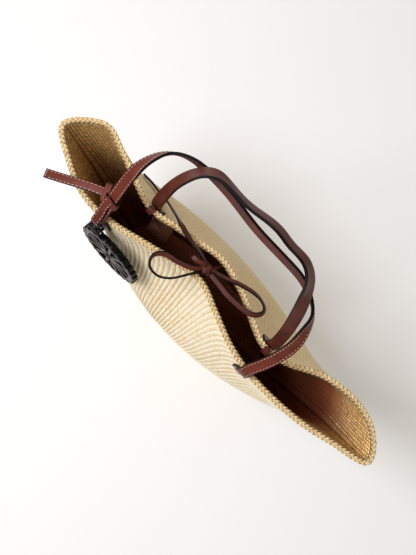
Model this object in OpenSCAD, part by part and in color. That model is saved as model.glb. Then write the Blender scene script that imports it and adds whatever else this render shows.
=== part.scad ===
// Woven straw beach bag: a ribbed basket with a braided rim, two leather carrying straps,
// a leather lace tied in a bow across the mouth, and a charm on a leather lanyard.

/* [Basket] */
// Length of the mouth, tip to tip
bag_length = 472; // [430:1:570]
// Height of the rim at the middle of the bag
bag_height = 285; // [235:1:345]
// Rise of the rim from the middle to its tips
tip_rise = 18; // [0:1:30]
// Length of the base
base_length = 250; // [205:1:300]
// Depth of the base, front to back
base_depth = 100; // [80:1:120]
// How far the walls swell between base and rim
belly = 12; // [4:1:20]
// Thickness of the woven wall
wall_t = 4; // [3:0.1:5]
// Thickness of the woven base
base_t = 4; // [3:0.1:6]
// Thickness of the braid along the rim
braid_d = 8; // [7:0.1:10]

/* [Handles] */
// Width of the strap
strap_w = 13; // [11:0.1:15]
// Thickness of the strap, leather and lining together
strap_t = 3; // [2.4:0.1:3.6]
// Distance between the feet of the front handle
front_span = 219; // [195:1:225]
// Height of the front arch above its fold
front_rise = 147; // [125:1:160]
// Lean of the front handle to the back, in degrees
front_lean = 42; // [40:1:44]
// Distance between the feet of the back handle
back_span = 191; // [180:1:196]
// Height of the back arch above its fold
back_rise = 184; // [175:1:220]
// Lean of the back handle to the back, in degrees
back_lean = 16.5; // [15:0.5:19]
// Length of strap sewn to the wall below the fold
foot_length = 40; // [30:1:50]
// Width of the tab that laps the rim behind each foot
tab_w = 8; // [6:0.1:10]
// Thickness of that tab
tab_t = 1.5; // [1:0.1:1.8]

/* [Lanyard and charm] */
// Width of the lanyard strap
lanyard_w = 10; // [8:0.1:12]
// Thickness of the lanyard strap
lanyard_t = 2.5; // [2:0.1:3]
// Diameter of the charm without its tabs
charm_d = 80; // [66:1:90]
// Thickness of the charm
charm_t = 8; // [6:0.1:9]
// Number of rays in the charm
ray_count = 12; // [8:1:16]
// Radius of the pin that the charm swings on
pin_r = 1.5; // [1.2:0.1:1.9]
// Lean of the charm out over the swelling wall, in degrees
charm_lean = 8; // [8:1:14]

/* [Tie] */
// Width of the lace
lace_w = 6; // [5:0.1:7]
// Thickness of the lace
lace_t = 2; // [1.6:0.1:2.4]

/* [Hidden] */

straw = "#dcc694";
leather = "#7d4b42";
lining = "#69352a";
dark_edge = "#1c1716";
tan_leather = "#7a5137";

gap = 0.5;          // between pieces that lie on each other
hinge_gap = 0.4;    // between a handle's rounded end and the foot below it
around = 44;        // wall stations along each side
levels = 14;        // wall stations from base to rim

// ---------- plain vector and curve functions ----------

function unit(v) = v/norm(v);

function smooth(t) = let(c = min(max(t, 0), 1)) c*c*(3 - 2*c);

function spline(a, b, c, d, t) =
    0.5*(2*b + (c - a)*t + (2*a - 5*b + 4*c - d)*t*t + (3*b - a - 3*c + d)*t*t*t);

// open curve through its points, n steps from each to the next
function curve(p, n) =
    let(last = len(p) - 1)
    [for (i = [0:last - 1]) for (k = [0:n - 1])
        spline(p[max(i - 1, 0)], p[i], p[i + 1], p[min(i + 2, last)], k/n), p[last]];

// closed curve through its points
function ring_curve(p, n) =
    let(m = len(p))
    [for (i = [0:m - 1]) for (k = [0:n - 1])
        spline(p[(i + m - 1)%m], p[i], p[(i + 1)%m], p[(i + 2)%m], k/n)];

function running_length(p) =
    [for (i = 0, s = 0; i < len(p); s = s + (i < len(p) - 1 ? norm(p[i + 1] - p[i]) : 0), i = i + 1) s];

function tangent(p, i) = unit(p[min(i + 1, len(p) - 1)] - p[max(i - 1, 0)]);

// turn v about the unit axis k
function turn(v, k, angle) = v*cos(angle) + cross(k, v)*sin(angle) + k*(k*v)*(1 - cos(angle));

// ---------- rim outline ----------

half_length = bag_length/2;
mid_x = 10;         // the mouth reaches further to the right than to the left
braid_r = braid_d/2;

// Mouth seen from above: station in percent of the half length, then offset in mm.
// The front side dips in at the middle, the back side near both back feet.
mouth_front = [[-100, 3], [-87, -18], [-71, -31], [-54, -28], [-38, -17], [-22, -6], [-8, 0],
               [6, -10], [21, -22], [37, -28], [53, -27], [69, -22], [83, -13]];
mouth_back = [[100, 0], [92, 26], [77, 35], [60, 28], [47, 11], [39, 4], [30, 4], [19, 14],
              [7, 25], [-9, 32], [-23, 25], [-34, 19], [-43, 13], [-51, 13], [-60, 19], [-74, 29], [-88, 35]];
mouth_steps = 8;
mouth = ring_curve([for (p = concat(mouth_front, mouth_back)) [mid_x + half_length*p.x/100, p.y]], mouth_steps);
tip_index = len(mouth_front)*mouth_steps;
front_line = [for (i = [0:tip_index]) mouth[i]];
back_line = [for (i = [tip_index:len(mouth)]) mouth[i%len(mouth)]];
front_run = running_length(front_line);
back_run = running_length(back_line);

function table(keys, line, axis) = [for (i = [0:len(line) - 1]) [keys[i], line[i][axis]]];
front_x = table(front_run, front_line, 0);
front_y = table(front_run, front_line, 1);
back_x = table(back_run, back_line, 0);
back_y = table(back_run, back_line, 1);
front_total = front_run[len(front_run) - 1];
back_total = back_run[len(back_run) - 1];

// u goes 0 to 1 along the front from left to right, and 1 to 2 back along the far side
function mouth_point(u) =
    u < 1 ? [lookup(u*front_total, front_x), lookup(u*front_total, front_y)]
          : [lookup((u - 1)*back_total, back_x), lookup((u - 1)*back_total, back_y)];

function rim_height(x) = bag_height + tip_rise*pow((x - mid_x)/half_length, 2);

function rim_point(u) = let(p = mouth_point(u)) [p.x, p.y, rim_height(p.x)];

// place along the front or back side at a given x
front_u = [for (i = [0:100]) [mouth_point(i/100*0.9999).x, i/100]];
back_u = [for (i = [100:-1:0]) [mouth_point(1 + i/100*0.9999).x, 1 + i/100]];
function u_at(x, back) = lookup(x, back ? back_u : front_u);

// ---------- wall surface ----------

front_depth_top = 44;
back_depth_top = 50;
blend_start = 0.56;     // height share where the section starts to follow the mouth
shift_top = 4;          // the tips lie a little behind the middle
end_round = 0.4;

function half_width(v) = base_length/2 + (half_length - base_length/2)*v;

// section at height share v: an oval at the base that turns into a pointed lens higher up
function section_point(u, v) =
    let(back = u >= 1,
        w = back ? u - 1 : u,
        e = end_round*(1 - v),
        s = (1 - e)*(2*w - 1) - e*cos(180*w),
        a = half_width(v),
        swell = belly*sin(180*v),
        front_b = base_depth/2 + (front_depth_top - base_depth/2)*v + swell,
        back_b = base_depth/2 + (back_depth_top - base_depth/2)*v + swell,
        power = 0.45 + (back ? 0.15 : 0.6)*v,
        f = pow(max(1 - s*s, 0), power),
        y0 = shift_top*v)
    back ? [mid_x*v - a*s, y0 + (back_b - y0)*f] : [mid_x*v + a*s, y0 - (front_b + y0)*f];

function wall_top(u) = rim_point(u).z - braid_r*cos(22.5) - gap/2;

// middle of the wall's thickness
function wall_mid(u0, v) =
    let(u = u0 < 0 ? u0 + 2 : u0 >= 2 ? u0 - 2 : u0,
        k = smooth((v - blend_start)/(1 - blend_start)),
        m = mouth_point(u),
        p = section_point(u, v)*(1 - k) + [mid_x*v + (m.x - mid_x)*half_width(v)/half_length, m.y]*k)
    [p.x, p.y, base_t + v*(wall_top(u) - base_t)];

du = 0.01;
dv = 0.02;
function wall_normal(u, v) =
    unit(cross(wall_mid(u + du, v) - wall_mid(u - du, v),
               wall_mid(u, min(v + dv, 1)) - wall_mid(u, max(v - dv, 0))));

// outward in the horizontal plane
function wall_outward(u, v) = let(n = wall_normal(u, v)) unit([n.x, n.y, 0]);

function wall_point(u, v, off) = wall_mid(u, v) + off*wall_outward(u, v);

function wall_grid(off) =
    [for (j = [0:levels]) for (i = [0:2*around - 1]) wall_point(i/around, j/levels, off)];

// ---------- solids from points ----------

// two triangles for the four corners a b c d, with the other diagonal when flip is set
function quad(a, b, c, d, flip = false) = flip ? [[a, b, d], [b, c, d]] : [[a, b, c], [a, c, d]];

// faces of a stack of rings with n points each
function tube_faces(rings, n, closed = false, flip = []) = concat(
    [for (i = [0:rings - (closed ? 1 : 2)]) for (k = [0:n - 1])
        each quad(i*n + k, i*n + (k + 1)%n, ((i + 1)%rings)*n + (k + 1)%n, ((i + 1)%rings)*n + k,
                  len(flip) > 0 && flip[k])],
    closed ? [] : [[for (k = [n - 1:-1:0]) k], [for (k = [0:n - 1]) (rings - 1)*n + k]]);

// Ribbon: each frame is [centre, face normal, width direction].
// The section is a list of [across, out] points that may differ from ring to ring.
function ribbon_points(frames, sections) =
    [for (i = [0:len(frames) - 1]) for (s = sections[i])
        frames[i][0] + frames[i][2]*s.x + frames[i][1]*s.y];

function frames_of(path, normals) =
    [for (i = [0:len(path) - 1])
        let(t = tangent(path, i), w = unit(cross(normals[i], t)), n = unit(cross(t, w)))
        [path[i], n, w]];

module ribbon(frames, sections, flip = []) {
    polyhedron(ribbon_points(frames, sections),
               [for (f = tube_faces(len(frames), len(sections[0]), false, flip)) [for (k = [len(f) - 1:-1:0]) f[k]]],
               convexity = 8);
}

// flat strip with eased edges
function strip_section(w, t) =
    let(c = t/4) [[-w/2, -t/2 + c], [-w/2 + c, -t/2], [w/2 - c, -t/2], [w/2, -t/2 + c],
                  [w/2, t/2 - c], [w/2 - c, t/2], [-w/2 + c, t/2], [-w/2, t/2 - c]];

module strip(path, normals, w, t) {
    ribbon(frames_of(path, normals), [for (p = path) strip_section(w, t)]);
}

// ---------- basket ----------

module basket_base() {
    color(straw)
    linear_extrude(base_t)
    polygon([for (i = [0:2*around - 1]) let(p = wall_point(i/around, 0, wall_t/2)) [p.x, p.y]]);
}

module basket_wall() {
    n = 2*around;
    m = n*(levels + 1);
    faces = concat(
        [for (j = [0:levels - 1]) for (i = [0:n - 1]) let(k = (i + 1)%n)
            each quad(j*n + i, (j + 1)*n + i, (j + 1)*n + k, j*n + k)],
        [for (j = [0:levels - 1]) for (i = [0:n - 1]) let(k = (i + 1)%n)
            each quad(m + j*n + i, m + j*n + k, m + (j + 1)*n + k, m + (j + 1)*n + i)],
        [for (i = [0:n - 1]) let(k = (i + 1)%n) each quad(i, k, m + k, m + i)],
        [for (i = [0:n - 1]) let(k = (i + 1)%n, t = levels*n) each quad(t + i, m + t + i, m + t + k, t + k)]);
    color(straw)
    polyhedron(concat(wall_grid(wall_t/2), wall_grid(-wall_t/2)), faces, convexity = 10);
}

module rim_braid() {
    n = 2*around;
    sides = 8;
    points = [for (i = [0:n - 1]) for (k = [0:sides - 1])
        let(a = 22.5 + 45*k) rim_point(i/around) + braid_r*(cos(a)*wall_outward(i/around, 1) + sin(a)*[0, 0, 1])];
    color(straw)
    polyhedron(points, tube_faces(n, sides, true), convexity = 10);
}

// ---------- handle folds ----------

foot_seat = 0.8;    // foot off the wall, more on the back where the wall curves in
back_foot_seat = 1.7;
fold_out = braid_r + foot_seat + strap_t/2 + 0.4;     // from the rim's middle to the strap's middle
fold_up = braid_r + tab_t + 1;                  // fold above the rim's middle

front_mid_x = -18.5;
back_mid_x = -4.5;
front_feet = [front_mid_x - front_span/2, front_mid_x + front_span/2];
back_feet = [back_mid_x - back_span/2, back_mid_x + back_span/2];

function fold_height(feet) = max(rim_height(feet[0]), rim_height(feet[1])) + fold_up;
front_fold_z = fold_height(front_feet);
back_fold_z = fold_height(back_feet);

// fold above the foot at x; the handles are sewn to the outside of the wall
function fold_point(x, back) =
    [x, mouth_point(u_at(x, back)).y + (back ? fold_out : -fold_out), back ? back_fold_z : front_fold_z];

front_folds = [for (x = front_feet) fold_point(x, false)];
back_folds = [for (x = back_feet) fold_point(x, true)];

// ---------- handle arches ----------

// Arch in its own plane: percent of the span, percent of the rise, and twist in degrees.
// The front strap turns right over in its top bar; the back strap lies flat there.
front_arch = [[0, 0, 0], [-0.2, 7, 0], [-0.8, 18, 0], [-1.5, 31, 0], [-2, 51, 10], [-0.8, 67, 50], [2.3, 81.6, 83],
              [6.9, 92.3, 118], [14, 99, 138], [22, 101.3, 152], [36, 101.7, 156], [54, 98.7, 156],
              [70, 98.8, 156], [82, 98.6, 154], [90, 94.2, 140], [97, 86.8, 113], [101, 74, 67],
              [104, 56, 25], [104, 38, 5], [102.5, 22, 0], [100.5, 9, 0], [100, 0, 0]];
back_arch = [[0, 0, 0], [0, 6.6, 0], [0.3, 21.6, 15], [1.7, 40.2, 38], [4.7, 58.6, 55], [8.7, 73.7, 76],
             [13.8, 83.8, 98], [20, 88.5, 128], [29, 89.6, 135], [35, 90.7, 131], [41.4, 94, 127],
             [47.4, 97.7, 127], [54, 99.7, 127], [62, 98.6, 127], [69, 100.3, 125], [74.6, 98.1, 116],
             [80.6, 89.4, 94], [85.4, 75.5, 65], [90.7, 56.5, 35], [96.2, 30.7, 10], [99.5, 8.4, 0], [100, 0, 0]];
arch_steps = 3;
end_angles = [80, 55, 28];

// frames along a handle; face is 1 where the leather faces the front, -1 where the lining does
function handle_frames(arch, folds, rise, lean, face) =
    let(span = norm(folds[1] - folds[0]),
        along = unit(folds[1] - folds[0]),
        up = turn([0, 0, 1], along, -lean),
        front = cross(along, up),
        flat_path = curve([for (a = arch) [a.x*span/100, a.y*rise/100, a.z]], arch_steps),
        path = [for (p = flat_path) folds[0] + along*p.x + up*p.y],
        last = len(path) - 1,
        normals = [for (i = [0:last]) let(t = tangent(path, i)) face*turn(front, t, -flat_path[i].z)],
        middle = frames_of(path, normals))
    concat([for (a = end_angles) [path[0] - up*strap_t/2*sin(a), face*front, -face*along]],
           [[path[0], face*front, -face*along]],
           [for (i = [1:last - 1]) middle[i]],
           [[path[last], face*front, face*along]],
           [for (k = [len(end_angles) - 1:-1:0])
               [path[last] - up*strap_t/2*sin(end_angles[k]), face*front, face*along]]);

// half of the strap's thickness: side 1 is the leather, side -1 the lining
function half_strap(count, side) =
    [for (i = [0:count - 1])
        let(k = i < 3 ? i : i > count - 4 ? count - 1 - i : 3,
            h = strap_t/2*(k < 3 ? cos(end_angles[k]) : 1),
            w = strap_w/2)
        side > 0 ? [[-w, 0], [w, 0], [w, h], [-w, h]] : [[-w, -h], [w, -h], [w, 0], [-w, 0]]];

module half_handle(frames, side) {
    ribbon(frames, half_strap(len(frames), side), [false, false, true, false]);
}

front_frames = handle_frames(front_arch, front_folds, front_rise, front_lean, 1);
back_frames = handle_frames(back_arch, back_folds, back_rise, back_lean, -1);

module front_handle_leather() { color(leather) half_handle(front_frames, 1); }
module front_handle_lining() { color(lining) half_handle(front_frames, -1); }
module back_handle_leather() { color(leather) half_handle(back_frames, 1); }
module back_handle_lining() { color(lining) half_handle(back_frames, -1); }

// ---------- feet and tabs ----------

foot_rows = 5;
tab_start = 17;         // below the rim, where the tab leaves the braid
tab_length = 32;        // below the rim, where it ends
tab_seat = 0.7;         // off the wall

// foot: down the outside of the wall from just below the fold
module foot(x, back) {
    u = u_at(x, back);
    fold = fold_point(x, back);
    low = (fold.z - foot_length - base_t)/(wall_top(u) - base_t);
    high = (rim_point(u).z - 2*braid_r - base_t)/(wall_top(u) - base_t);
    sewn = [for (i = [0:foot_rows])
        let(v = low + (high - low)*i/foot_rows, n = wall_normal(u, v))
        wall_mid(u, v) + n*(wall_t/2 + (back ? back_foot_seat : foot_seat) + strap_t/2)];
    top = fold - [0, 0, strap_t/2 + hinge_gap];
    path = concat(sewn, [top - [0, 0, 6], top]);
    normals = [for (i = [0:len(path) - 1]) i <= foot_rows ? wall_normal(u, low + (high - low)*i/foot_rows)
                                                          : [0, back ? 1 : -1, 0]];
    color(leather) strip(path, normals, strap_w, strap_t);
}

// tab: from inside the wall over the braid, behind the foot
module tab(x, back) {
    u = u_at(x, back);
    out = wall_outward(u, 1);
    rim = rim_point(u);
    r = braid_r + gap + tab_t/2;
    high = 1 - tab_start/bag_height;
    low = 1 - tab_length/bag_height;
    heights = [low, (low + high)/2, high];
    inside = [for (v = heights) wall_mid(u, v) - wall_normal(u, v)*(wall_t/2 + tab_seat + tab_t/2)];
    over = [for (a = [190, 160, 130, 100, 70]) rim + r*(cos(a)*out + sin(a)*[0, 0, 1])];
    path = concat(inside, over);
    normals = concat([for (v = heights) -wall_normal(u, v)],
                     [for (p = over) unit(p - rim)]);
    color(leather) strip(path, normals, tab_w, tab_t);
}

module front_foot_left() { foot(front_feet[0], false); }
module front_foot_right() { foot(front_feet[1], false); }
module back_foot_left() { foot(back_feet[0], true); }
module back_foot_right() { foot(back_feet[1], true); }
module front_tab_left() { tab(front_feet[0], false); }
module front_tab_right() { tab(front_feet[1], false); }
module back_tab_left() { tab(back_feet[0], true); }
module back_tab_right() { tab(back_feet[1], true); }

// ---------- lanyard on the front handle's left leg ----------

keeper_low = 26;        // along the leg, from the fold
keeper_high = 35;
keeper_t = 2;
keeper_gap = 1;         // beside the strap
keeper_w = strap_w + 2*keeper_gap;
front_turn = atan2(front_folds[1].y - front_folds[0].y, front_folds[1].x - front_folds[0].x);
leg_drift = -2.1;       // the leg has moved this far to the left at the keeper

// point of the front handle's left leg, measured from the fold
function on_leg(p) =
    let(up = turn([0, 0, 1], [cos(front_turn), sin(front_turn), 0], -front_lean))
    front_folds[0] + p.x*[cos(front_turn), sin(front_turn), 0] + p.z*up;

module on_front_leg() {
    translate(front_folds[0])
    rotate([0, 0, front_turn])
    rotate([-front_lean, 0, 0])
    children();
}

module flat_ring(w, d, t, height) {
    linear_extrude(height)
    difference() {
        square([w + 2*t, d + 2*t], center = true);
        square([w, d], center = true);
    }
}

module lanyard_keeper() {
    color(leather)
    on_front_leg()
    translate([leg_drift, 0, keeper_low])
    flat_ring(keeper_w, strap_t + 2*gap, keeper_t, keeper_high - keeper_low);
}

// the free tail: from the keeper's left side out over the rim
tail_root = on_leg([leg_drift, 0, (keeper_low + keeper_high)/2]) - [keeper_w/2 + keeper_t + 2.5, -2, 2];
tail_route = [for (p = [[0, 0, 0], [-17, -7, -5], [-32, -16, -9], [-47, -24, -16], [-63, -31, -24]]) tail_root + p];
tail_path = curve(tail_route, 3);
tail_dir = unit(tail_route[1] - tail_route[0]);

module lanyard_tail() {
    color(leather)
    strip(tail_path, [for (p = tail_path) [0, 0, 1]], lanyard_w, lanyard_t);
}

// loop of strap wound round the tail beside the leg
loop_at = 6;            // along the tail, from its root
loop_w = 6;
module lanyard_loop() {
    color(leather)
    translate(tail_root + tail_dir*loop_at)
    rotate([0, 0, atan2(tail_dir.y, tail_dir.x)])
    rotate([0, 90 + asin(-tail_dir.z), 0])
    translate([0, 0, -loop_w/2])
    linear_extrude(loop_w)
    difference() {
        offset(2) square([lanyard_t + 2, lanyard_w + 3], center = true);
        offset(1) square([lanyard_t - 0.8, lanyard_w], center = true);
    }
}

// ---------- charm ----------

charm_r = charm_d/2;
eye_r = 4;
eye_w = 9;
ear_w = 3;
bore_gap = 0.1;
plate_t = 2;
plate_h = 12;
plate_seat = 1.2;       // plate off the foot at its middle
ray_tab = 2;            // how far the blunt tabs stand out of the charm's edge
eye_side = -28;         // the eye sits left of the charm's middle
hinge_half = eye_w/2 + gap + ear_w + 1;
eye_up = sqrt(pow(charm_r + ray_tab + eye_r + gap, 2) - pow(-eye_side - hinge_half, 2));
foot_u = u_at(front_feet[0], false);
hanger_v = 0.925;
plate_v = hanger_v - plate_h/2/bag_height;
pin_at = [front_feet[0],
          wall_mid(foot_u, plate_v).y - wall_t/2 - foot_seat - strap_t - plate_seat - plate_t - gap - eye_r,
          wall_mid(foot_u, hanger_v).z];

module along_x(length, r) {
    translate([-length/2, 0, 0]) rotate([0, 90, 0]) cylinder(h = length, r = r, $fn = 48);
}

// charm's own plane: X across, Y up the charm, Z out of its face
module on_charm() {
    translate(pin_at) rotate([90 - charm_lean, 0, 0]) children();
}

module sun_shape() {
    ring_w = charm_r*0.17;
    hub_r = charm_r*0.3;
    difference() {
        union() {
            circle(r = charm_r, $fn = 96);
            for (i = [0:2*ray_count - 1])
                rotate(i*180/ray_count) translate([charm_r, 0]) square([2*ray_tab, 5], center = true);
        }
        difference() {
            circle(r = charm_r - ring_w, $fn = 96);
            circle(r = hub_r, $fn = 48);
            for (i = [0:ray_count - 1])
                rotate(i*360/ray_count) translate([hub_r - 1, -2.2]) square([charm_r - hub_r, 4.4]);
        }
        circle(r = hub_r*0.4, $fn = 32);
    }
}

module charm() {
    neck = eye_up - sqrt(pow(charm_r - 4, 2) - pow(-eye_side - eye_w/2, 2));
    color(dark_edge)
    difference() {
        union() {
            on_charm() translate([-eye_side, -eye_up, -charm_t/2]) linear_extrude(charm_t) sun_shape();
            translate(pin_at) along_x(eye_w, eye_r);
            on_charm() translate([-eye_w/2, -neck, -2.5]) cube([eye_w, neck, 5]);
        }
        translate(pin_at) along_x(eye_w + 2, pin_r + bore_gap);
    }
}

module charm_pin() {
    color("silver")
    translate(pin_at) along_x(2*hinge_half, pin_r);
}

// leather hanger on the foot, with an ear at each end of the charm's eye
module charm_hanger() {
    back_y = eye_r + gap;
    width = eye_w + 2*ear_w + 2*gap;
    color(leather)
    difference() {
        union() {
            translate(pin_at) for (s = [-1, 1]) {
                translate([s*(eye_w + ear_w + 2*gap)/2, 0, 0]) along_x(ear_w, eye_r);
                translate([s*(eye_w + ear_w + 2*gap)/2 - ear_w/2, 0, -eye_r]) cube([ear_w, back_y + plate_t, 2*eye_r]);
            }
            translate(pin_at + [-width/2, back_y, -plate_h/2]) cube([width, plate_t, plate_h]);
        }
        translate(pin_at) along_x(width + 4, pin_r + 0.02);
    }
}

// ---------- tie across the mouth ----------

knot_at = [-15, 13, bag_height + 8];
knot_turn = -31;
knot_size = [15, 8, 9];

// Lace routes by hand, their height measured from the rim's middle height.
// Each point has the direction its flat face looks.
loop_left_route = [[-18, 10, 9], [-27, 1, 12], [-43, -6, 13], [-54, -9, 12], [-61, -15, 11], [-62, -23, 9],
                   [-56, -30, 6], [-44, -30, 4], [-33, -22, 6], [-25, -9, 9], [-18, 6, 7]];
loop_right_route = [[-11, 15, 9], [6, 20, 13], [21, 27, 15], [38, 32, 15], [50, 32, 14], [58, 28, 13],
                    [58, 21, 12], [52, 15, 11], [42, 12, 10], [22, 10, 9], [8, 11, 8], [-9, 12, 7]];
loop_right_faces = [[0, 1, 0], [-0.3, 1, 0], [-0.3, 1, 0], [-0.2, 1, 0], [0.2, 1, 0.2], [1, 0.3, 0.5],
                    [0.6, -0.6, 0.9], [0.1, -0.5, 1], [0, -0.3, 1], [0, -0.2, 1], [0, -0.2, 1], [0, -0.1, 1]];
tail_long_route = [[-20, 16, 8], [-32, 18.5, 12], [-45, 19.5, 13], [-56, 21.5, 12], [-66, 24, 9], [-73, 26.5, 1],
                   [-79.5, 29, -11], [-85, 31.3, -25], [-92, 34, -39], [-100, 36, -49], [-109, 37, -56],
                   [-118, 38, -59], [-129, 38.5, -57], [-139, 37, -49]];
tail_long_faces = [[0.3, 0.8, 0.5], [0.2, 0.8, 0.6], [0.2, 0.7, 0.7], [0.1, 0.5, 0.8], [0.1, 0.5, 0.8], [0.1, 0.8, 0.5],
                   [0, 1, 0.3], [0, 1, 0.3], [0, 1, 0.3], [0, 1, 0.3], [0, 1, 0.3],
                   [0, 1, 0.3], [0, 1, 0.3], [0, 1, 0.3]];
tail_short_route = [[-17.5, 14.5, 13], [-21, 13, 15.5], [-26, 11, 17], [-30, 10, 17], [-34, 10, 16]];
front_lace_route = [[-14.5, 12, 2.2], [-14, 8.5, 2], [-13.5, 6.3, -1], [-13, 5.2, -5], [-12.5, 3.4, -10], [-12, 1.9, -15]];
back_lace_route = [[-12, 14.5, 2.2], [-9.5, 18.5, 1.8], [-7.5, 22.5, -1], [-6.5, 26, -6], [-6, 28, -11], [-6, 28.8, -16]];
front_lace_faces = [[0, 0, 1], [0, 0.3, 1], [0, 1, 0.8], [0, 1, 0.3], [0, 1, 0.3], [0, 1, 0.3]];
back_lace_faces = [[0, 0, 1], [0, -0.3, 1], [0, -0.8, 1], [0, -1, 0.6], [0, -1, 0.2], [0, -1, 0.1]];

function from_rim(path) = [for (p = path) p + [0, 0, bag_height]];

module lace(route, faces, steps = 2) {
    strip(from_rim(curve(route, steps)), curve(faces, steps), lace_w, lace_t);
}

function all_facing(route, face) = [for (p = route) face];

function loop_faces(route) =
    [for (i = [0:len(route) - 1]) let(t = tangent(route, i)) unit([-t.y, t.x, 0.15])];

module lace_loop_left() { color(lining) lace(loop_left_route, loop_faces(loop_left_route)); }
module lace_loop_right() { color(lining) lace(loop_right_route, loop_right_faces); }
module lace_tail_long() { color(lining) lace(tail_long_route, tail_long_faces); }
module lace_tail_short() { color(lining) lace(tail_short_route, all_facing(tail_short_route, [0, -0.3, 1])); }
module lace_front() { color(lining) lace(front_lace_route, front_lace_faces); }
module lace_back() { color(lining) lace(back_lace_route, back_lace_faces); }

module bow_knot() {
    bulge = 2;
    color(leather)
    translate(knot_at)
    rotate([0, 0, knot_turn])
    hull() {
        cube([knot_size.x, knot_size.y - 2*bulge, knot_size.z - 2*bulge], center = true);
        cube([knot_size.x - 2*bulge, knot_size.y, knot_size.z - 2*bulge], center = true);
        cube([knot_size.x - 2*bulge, knot_size.y - 2*bulge, knot_size.z], center = true);
    }
}

// ---------- hang tag inside the back wall ----------

tag_size = [28, 20, 2];
tag_at = [-83, 10, bag_height - 63];
tag_tilt = 35;

module hang_tag() {
    color(tan_leather)
    translate(tag_at)
    rotate([tag_tilt, 0, 12])
    linear_extrude(tag_size.z)
    difference() {
        offset(3) square([tag_size.x - 6, tag_size.y - 6], center = true);
        translate([-tag_size.x/2 + 4, tag_size.y/2 - 4]) circle(r = 1.2, $fn = 24);
    }
}

thread_d = 1;
thread_route = [[-98, 10.6, -23], [-97.5, 10.9, -31], [-96.5, 10.8, -41], [-95.5, 10.8, -49],
                [-94.5, 11, -54], [-93.4, 11.2, -57.3]];

module tag_thread() {
    sides = 6;
    path = from_rim(curve(thread_route, 2));
    rows = frames_of(path, [for (p = path) [0, 0.3, 1]]);
    round_section = [for (k = [0:sides - 1]) thread_d/2*[cos(60*k), sin(60*k)]];
    color("wheat")
    ribbon(rows, [for (p = path) round_section]);
}

basket_base();
basket_wall();
rim_braid();
front_handle_leather();
front_handle_lining();
back_handle_leather();
back_handle_lining();
front_foot_left();
front_foot_right();
back_foot_left();
back_foot_right();
front_tab_left();
front_tab_right();
back_tab_left();
back_tab_right();
lanyard_keeper();
lanyard_loop();
lanyard_tail();
charm_hanger();
charm_pin();
charm();
bow_knot();
lace_loop_left();
lace_loop_right();
lace_tail_long();
lace_tail_short();
lace_front();
lace_back();
hang_tag();
tag_thread();
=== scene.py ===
import math
import bpy
import numpy as np
from mathutils import Matrix, Vector


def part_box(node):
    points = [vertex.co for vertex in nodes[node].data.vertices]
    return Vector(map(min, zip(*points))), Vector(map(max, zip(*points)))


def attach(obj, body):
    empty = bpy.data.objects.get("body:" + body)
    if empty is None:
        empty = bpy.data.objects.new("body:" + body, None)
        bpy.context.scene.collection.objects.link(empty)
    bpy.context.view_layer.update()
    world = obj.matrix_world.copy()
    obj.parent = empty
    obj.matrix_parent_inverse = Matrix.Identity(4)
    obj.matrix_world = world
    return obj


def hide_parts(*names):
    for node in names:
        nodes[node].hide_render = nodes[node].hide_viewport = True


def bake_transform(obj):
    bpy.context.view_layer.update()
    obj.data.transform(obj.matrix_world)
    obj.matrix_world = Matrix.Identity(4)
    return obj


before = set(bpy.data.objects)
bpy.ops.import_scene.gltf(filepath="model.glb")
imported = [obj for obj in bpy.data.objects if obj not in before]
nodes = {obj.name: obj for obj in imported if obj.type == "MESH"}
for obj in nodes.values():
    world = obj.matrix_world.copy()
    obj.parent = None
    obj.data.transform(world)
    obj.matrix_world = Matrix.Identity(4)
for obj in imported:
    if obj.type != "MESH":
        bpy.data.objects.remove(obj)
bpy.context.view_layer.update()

mm = 0.001
scene = bpy.context.scene

# camera: nearly straight above the mouth, turned so that the bag runs down to the right
view = {
    "place": (-7, -79.16, 1284.19),
    "aim": (-7, 8, 288),
    "turn": 47.8,           # degrees
    "lens": 61.5,
    "sensor": 36,
    "clip": (0.05, 20),     # m
}


def addCamera():
    place, aim = Vector(view["place"]) * mm, Vector(view["aim"]) * mm
    back = (place - aim).normalized()
    along = Vector((1, 0, 0))
    across = back.cross(along)
    a = math.radians(view["turn"])
    right = along * math.cos(a) + across * math.sin(a)
    up = across * math.cos(a) - along * math.sin(a)
    data = bpy.data.cameras.new("camera")
    data.lens, data.sensor_width = view["lens"], view["sensor"]
    data.clip_start, data.clip_end = view["clip"]
    camera = bpy.data.objects.new("camera", data)
    camera.matrix_world = Matrix((right, up, back)).transposed().to_4x4()
    camera.location = place
    scene.collection.objects.link(camera)
    scene.camera = camera


addCamera()
print("camera set")


def plug(tree, slot, value):
    if isinstance(value, Link):
        tree.links.new(value.socket, slot)
    elif slot.type == "RGBA":
        slot.default_value = (*value[:3], 1)
    else:
        slot.default_value = value


def newNode(tree, kind, settings, sockets):
    # a node of any kind: its settings come first, then the values or links of its sockets
    node = tree.nodes.new(kind)
    for key, value in settings.items():
        if key == "stops":
            ramp = node.color_ramp
            while len(ramp.elements) < len(value):
                ramp.elements.new(0.5)
            for element, (at, colour) in zip(ramp.elements, value):
                element.position, element.color = at, (*colour, 1)
        else:
            setattr(node, key, value)
    for key, value in sockets.items():
        plug(tree, node.inputs[key], value)
    return node


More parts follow.
